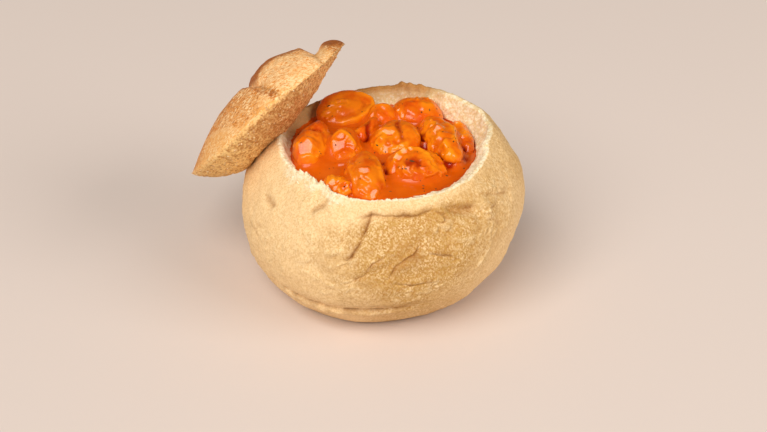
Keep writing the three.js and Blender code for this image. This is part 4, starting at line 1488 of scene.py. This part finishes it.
def sauce_mesh(heap):
    """The sauce: its pool, drawn up between the pieces and into the crumb."""
    azimuth = all_round(SAUCE_SECTORS)
    wall = np.stack(hollow_column(azimuth, REST_GAP)[::-1])
    mouth = flat_gap(wall[-1]) + SAUCE_IN_CRUMB
    share = np.linspace(1.0, 0.0, SAUCE_ROWS + 1)[:-1, None]
    top = ring(azimuth, mouth * share, 0.0)
    pool = pool_height(top)
    drawn = field_at(evened(heap, SAUCE_SPREAD), top) - SAUCE_SINK - pool
    drawn = np.maximum(drawn, 0.0) * (1.0 - 0.9 * deep_share(top))
    drawn *= 1.0 - step_between(mouth * share, MOUTH_RADIUS - 5.0, MOUTH_RADIUS + 0.5)
    edge = step_between(mouth * share, MOUTH_RADIUS - 2.0, MOUTH_RADIUS + SAUCE_IN_CRUMB)
    top[..., 2] = STEW_LEVEL + pool * (1.0 - edge) + drawn - 0.4 * edge
    rings = np.concatenate([wall[:-1], top])
    crevice_shade = np.zeros(rings.shape[:-1])
    # Painted shade down in the crevices
    crevice_shade[len(wall) - 1:] = depth_below(heap, top)
    pale = np.zeros(rings.shape[:-1])
    pale[len(wall) - 1:] = 0.4 * step_between(rough_noise(top, 8.0, seed=107, octaves=2), 0.0, 0.9)
    floor = (0.0, 0.0, HOLLOW_FLOOR + REST_GAP)
    middle = (0.0, 0.0, top[-1, :, 2].mean())
    return closed_skin("sauce", rings, floor, middle, {"crevice_shade": crevice_shade, "pale": pale})


def depth_below(heap, points):
    """How much painted shade a place gets: 0 on the open heap, 1 well down in a crevice."""
    sunk = field_at(evened(heap, DEEP_SPREAD), points) - (points[..., 2] - STEW_LEVEL)
    crevice = 0.6 * deep_share(points) * step_between(sunk, -0.5, 1.5)
    return np.clip(step_between(sunk, 1.0, 5.0) + crevice, 0.0, 1.0)


def open_above(surface):
    """A rule that keeps the upward faces that nothing covers."""
    def keep(centre, normal):
        if normal.z <= 0.25:
            return False
        return surface.ray_cast(centre + 0.3 * normal, Vector((0.0, 0.0, 1.0)))[0] is None
    return keep


def scatter_tree(name, finish):
    """Bits strewn over a ground mesh: one ball, turned, squeezed and roughened by a seeded draw."""
    group = bpy.data.node_groups.new(name, "GeometryNodeTree")
    group.interface.new_socket("Ground", in_out="INPUT", socket_type="NodeSocketGeometry")
    for size in ("Per square metre", "Shortest", "Longest", "Slimness", "Flatness", "Raggedness"):
        group.interface.new_socket(size, in_out="INPUT", socket_type="NodeSocketFloat")
    group.interface.new_socket("Seed", in_out="INPUT", socket_type="NodeSocketInt")
    group.interface.new_socket("Bits", in_out="OUTPUT", socket_type="NodeSocketGeometry")
    tree = Tree(group)
    given = tree.node("NodeGroupInput").outputs
    spread = {"Mesh": given["Ground"], "Density": given["Per square metre"], "Seed": given["Seed"]}
    strewn = tree.node("GeometryNodeDistributePointsOnFaces", {"distribute_method": "RANDOM"}, spread)
    drawn = {"Min": given["Shortest"], "Max": given["Longest"], "Seed": given["Seed"]}
    length = tree.out(tree.node("FunctionNodeRandomValue", {"data_type": "FLOAT"}, drawn), "Value")
    full_turn = {"Min": 0.0, "Max": 2.0 * math.pi, "Seed": given["Seed"]}
    spin = tree.out(tree.node("FunctionNodeRandomValue", {"data_type": "FLOAT"}, full_turn), "Value")
    about = tree.node("ShaderNodeCombineXYZ", None, {"Z": spin}).outputs[0]
    turn = tree.node("FunctionNodeEulerToRotation", None, {0: about}).outputs[0]
    settled = {"Rotation": strewn.outputs["Rotation"], "Rotate By": turn}
    rotation = tree.node("FunctionNodeRotateRotation", {"rotation_space": "LOCAL"}, settled).outputs[0]
    width = length * Value(tree, given["Slimness"])
    thickness = length * Value(tree, given["Flatness"])
    size = tree.node("ShaderNodeCombineXYZ", None, {"X": length, "Y": width, "Z": thickness}).outputs[0]
    ball = tree.node("GeometryNodeMeshIcoSphere", None, {"Radius": 0.5, "Subdivisions": 2}).outputs[0]
    placed = {"Points": strewn.outputs["Points"], "Instance": ball, "Rotation": rotation, "Scale": size}
    bits = tree.node("GeometryNodeInstanceOnPoints", None, placed).outputs[0]
    real = tree.node("GeometryNodeRealizeInstances", None, {0: bits}).outputs[0]
    wave = tree.node("ShaderNodeTexNoise", None, {"Scale": RAG_WAVES, "Detail": 1.0}).outputs["Color"]
    middle = tree.node("ShaderNodeVectorMath", {"operation": "SUBTRACT"}, {0: wave, 1: (0.5, 0.5, 0.5)})
    push = tree.node("ShaderNodeVectorMath", {"operation": "SCALE"},
                     {0: middle.outputs[0], "Scale": given["Raggedness"]})
    torn = tree.node("GeometryNodeSetPosition", None, {"Geometry": real, "Offset": push.outputs[0]})
    dressed = tree.node("GeometryNodeSetMaterial", None, {"Geometry": torn.outputs[0], "Material": finish})
    tree.node("NodeGroupOutput", None, {"Bits": dressed.outputs[0]})
    return group


def scatter(name, ground, finish, sizes):
    """Strews bits over a ground mesh and adds them as one piece of plain mesh."""
    group = scatter_tree(name, finish)
    bed = bpy.data.objects.new("bed", ground)
    bpy.context.scene.collection.objects.link(bed)
    strew = bed.modifiers.new("Strew", "NODES")
    strew.node_group = group
    for socket in group.interface.items_tree:
        if socket.name in sizes:
            strew[socket.identifier] = sizes[socket.name]
    graph = bpy.context.evaluated_depsgraph_get()
    mesh = bpy.data.meshes.new_from_object(bed.evaluated_get(graph))
    bed.modifiers.remove(strew)
    bpy.data.objects.remove(bed)
    bpy.data.meshes.remove(ground)
    mesh.name = name
    mesh.shade_smooth()
    add_piece(name, mesh, finish)


def herb_mesh(surface):
    """Slim curled shreds of herb that lie on the stew."""
    draw = np.random.default_rng(HERB_SEED)
    work = bmesh.new()
    for x, y, length, turn in HERB_SHREDS:
        hit, normal = drop_onto(surface, x, y)
        made = bmesh.ops.create_icosphere(work, subdivisions=2, radius=0.5)["verts"]
        slim = draw.uniform(0.24, 0.42)
        bend = draw.uniform(-0.25, 0.25)
        along = Vector((math.cos(math.radians(turn)), math.sin(math.radians(turn)), 0.0))
        along = (along - normal * along.dot(normal)).normalized()
        beside = normal.cross(along)
        for vertex in made:
            place, side, rise = vertex.co
            side = side * slim * (1.0 - 1.2 * place * place) + bend * (place * place - 0.1)
            rise = 0.14 * rise + 0.35 * slim * side * side
            point = hit + length * (place * along + side * beside + rise * normal)
            vertex.co = point * MM
    mesh = bpy.data.meshes.new("herb_shreds")
    work.to_mesh(mesh)
    work.free()
    mesh.shade_smooth()
    return mesh


def build_stew():
    """Sauce, coated pieces and what is sprinkled on them."""
    coat = stew_finish("coated_piece", SAUCE_RED, COAT_ORANGE, COAT_GOLD, COAT_GLOSS)
    meshes = {}
    golden = {}
    sunk = {}
    first, apart = CHUNK_SEEDS
    for number, (node, look) in enumerate(CHUNKS.items()):
        meshes[node], golden[node], sunk[node] = chunk_mesh(node, look, first + apart * number)
    heap = stew_field(surface_of(meshes.values()))
    sauce = sauce_mesh(heap)
    everything = surface_of([sauce, *meshes.values()])
    for node, mesh in meshes.items():
        # Painted shade in the crevices and in the piece's own hollows
        crevice_shade = np.clip(depth_below(heap, mesh_points(mesh)) + sunk[node], 0.0, 1.0)
        add_measures(mesh, {"crevice_shade": crevice_shade, "pale": golden[node]})
        add_piece("coated_" + node, mesh, coat, node)

    def in_bowl(centre, _):
        return centre.xy.length < MOUTH_RADIUS

    ground = ground_of([sauce, *meshes.values()], in_bowl, open_above(everything))
    pepper = speck_finish("pepper", PEPPER, PEPPER_PALE)
    scatter("pepper_specks", ground, pepper, PEPPER_BITS)
    herb = speck_finish("herb", HERB, HERB_PALE)
    add_piece("herb_shreds", herb_mesh(everything), herb)
    body = stew_finish("sauce", SAUCE_RED, SAUCE_ORANGE, SAUCE_PALE, SAUCE_GLOSS)
    add_piece("sauce", sauce, body, "stew_sauce")


def build_bread():
    """The hollowed loaf, its lid, and torn crumb along the cut edge."""
    skin = (PALE_CRUST, GOLD_CRUST, BREAD_BROWN, FLECK)
    crust = bread_finish("bowl_crust", skin, (CRUMB, CRUMB_SHADE), **BOWL_GRAIN)
    loaf = loaf_mesh()
    lid_skin = (LID_PALE, LID_GOLD, LID_BROWN, LID_OPEN)
    lid_finish = bread_finish("lid_crust", lid_skin, (LID_CRUMB, LID_CRUMB_SHADE), **LID_GRAIN)
    lid = lid_mesh()
    torn = loose_crumb_finish()

    def along_rim(centre, normal):
        if centre.z < STEW_LEVEL + 2.0 or centre.y > LOOSE_CRUMB_BACK:
            return False
        turn = np.array(math.atan2(centre.y, centre.x))
        ragged = float(torn_share(turn))
        near = abs(centre.z - float(rim_height(turn))) < 1.0 + 1.6 * ragged
        inner = normal.xy.dot(centre.xy) < 0.0 or ragged > 0.5
        return near and inner and centre.xy.length > MOUTH_RADIUS + 3.0

    ground = ground_of([loaf], along_rim, open_above(surface_of([loaf, lid])))
    scatter("torn_crumb", ground, torn, CRUMB_BITS)

    def on_lid_crumb(centre, normal):
        place = lid_axes() @ (np.array(centre) - LID_CENTRE)
        share = flat_gap(place) / LID_RADIUS
        return share > 0.72 and normal.dot(Vector(LID_CRUMB_NORMAL)) > 0.1

    ground = ground_of([lid], on_lid_crumb)
    loose = speck_finish("lid_shreds", LID_CRUMB_SHADE, FLOUR)
    scatter("lid_shreds", ground, loose, LID_BITS)
    add_piece("loaf", loaf, crust, "bread_bowl")
    add_piece("lid", lid, lid_finish, "bread_lid")


def build_floor():
    """A wide level floor, for the picture only."""
    half = FLOOR_HALF
    corners = [(-half, -half, 0.0), (half, -half, 0.0), (half, half, 0.0), (-half, half, 0.0)]
    mesh = bpy.data.meshes.new("floor")
    mesh.from_pydata(corners, [], [(0, 1, 2, 3)])
    mesh.materials.append(floor_finish())
    floor = bpy.data.objects.new("floor", mesh)
    bpy.context.scene.collection.objects.link(floor)


def add_light(name, place, aim, size, power, colour):
    """A soft box that faces a point."""
    data = bpy.data.lights.new(name, "AREA")
    data.shape = "RECTANGLE"
    data.size, data.size_y = size
    data.energy = power
    data.color = colour
    light = bpy.data.objects.new(name, data)
    bpy.context.scene.collection.objects.link(light)
    light.location = place
    light.rotation_euler = (Vector(aim) - Vector(place)).to_track_quat("-Z", "Y").to_euler()
    return light


def build_room():
    """An evenly bright room that hardly shows in glossy sauce."""
    world = bpy.data.worlds.new("studio")
    world.use_nodes = True
    world.node_tree.nodes.clear()
    room = Tree(world.node_tree)
    glossy = room.out(room.node("ShaderNodeLightPath"), "Is Glossy Ray")
    strength = ROOM_LIGHT - ROOM_LIGHT * (1.0 - ROOM_GLOSS) * glossy
    shine = room.node("ShaderNodeBackground", None, {"Color": ROOM_COLOUR, "Strength": strength})
    room.node("ShaderNodeOutputWorld", None, {"Surface": shine.outputs[0]})
    bpy.context.scene.world = world


def build_light():
    """A large key light from the front left, a dim fill from the right, and the room."""
    add_light("key", KEY_PLACE, LIT_POINT, KEY_SIZE, KEY_POWER, KEY_COLOUR)
    fill = add_light("fill", FILL_PLACE, LIT_POINT, FILL_SIZE, FILL_POWER, FILL_COLOUR)
    fill.visible_glossy = False
    build_room()
    bpy.context.scene.view_settings.view_transform = "Standard"


def build_camera():
    """The camera that took the photo, as fitted to the loaf's outline."""
    data = bpy.data.cameras.new("camera")
    data.sensor_fit = "HORIZONTAL"
    data.sensor_width = SENSOR_WIDTH
    data.lens = SENSOR_WIDTH * FOCAL_PIXELS / IMAGE_WIDTH
    data.clip_start = NEAREST_SEEN
    camera = bpy.data.objects.new("camera", data)
    bpy.context.scene.collection.objects.link(camera)
    rise = math.radians(VIEW_ELEVATION)
    camera.location = VIEW_CENTRE + VIEW_DISTANCE * Vector((0.0, -math.cos(rise), math.sin(rise)))
    camera.rotation_euler = (math.pi / 2.0 - rise, 0.0, 0.0)
    bpy.context.scene.camera = camera


build_camera()
build_bread()
build_stew()
build_floor()
build_light()
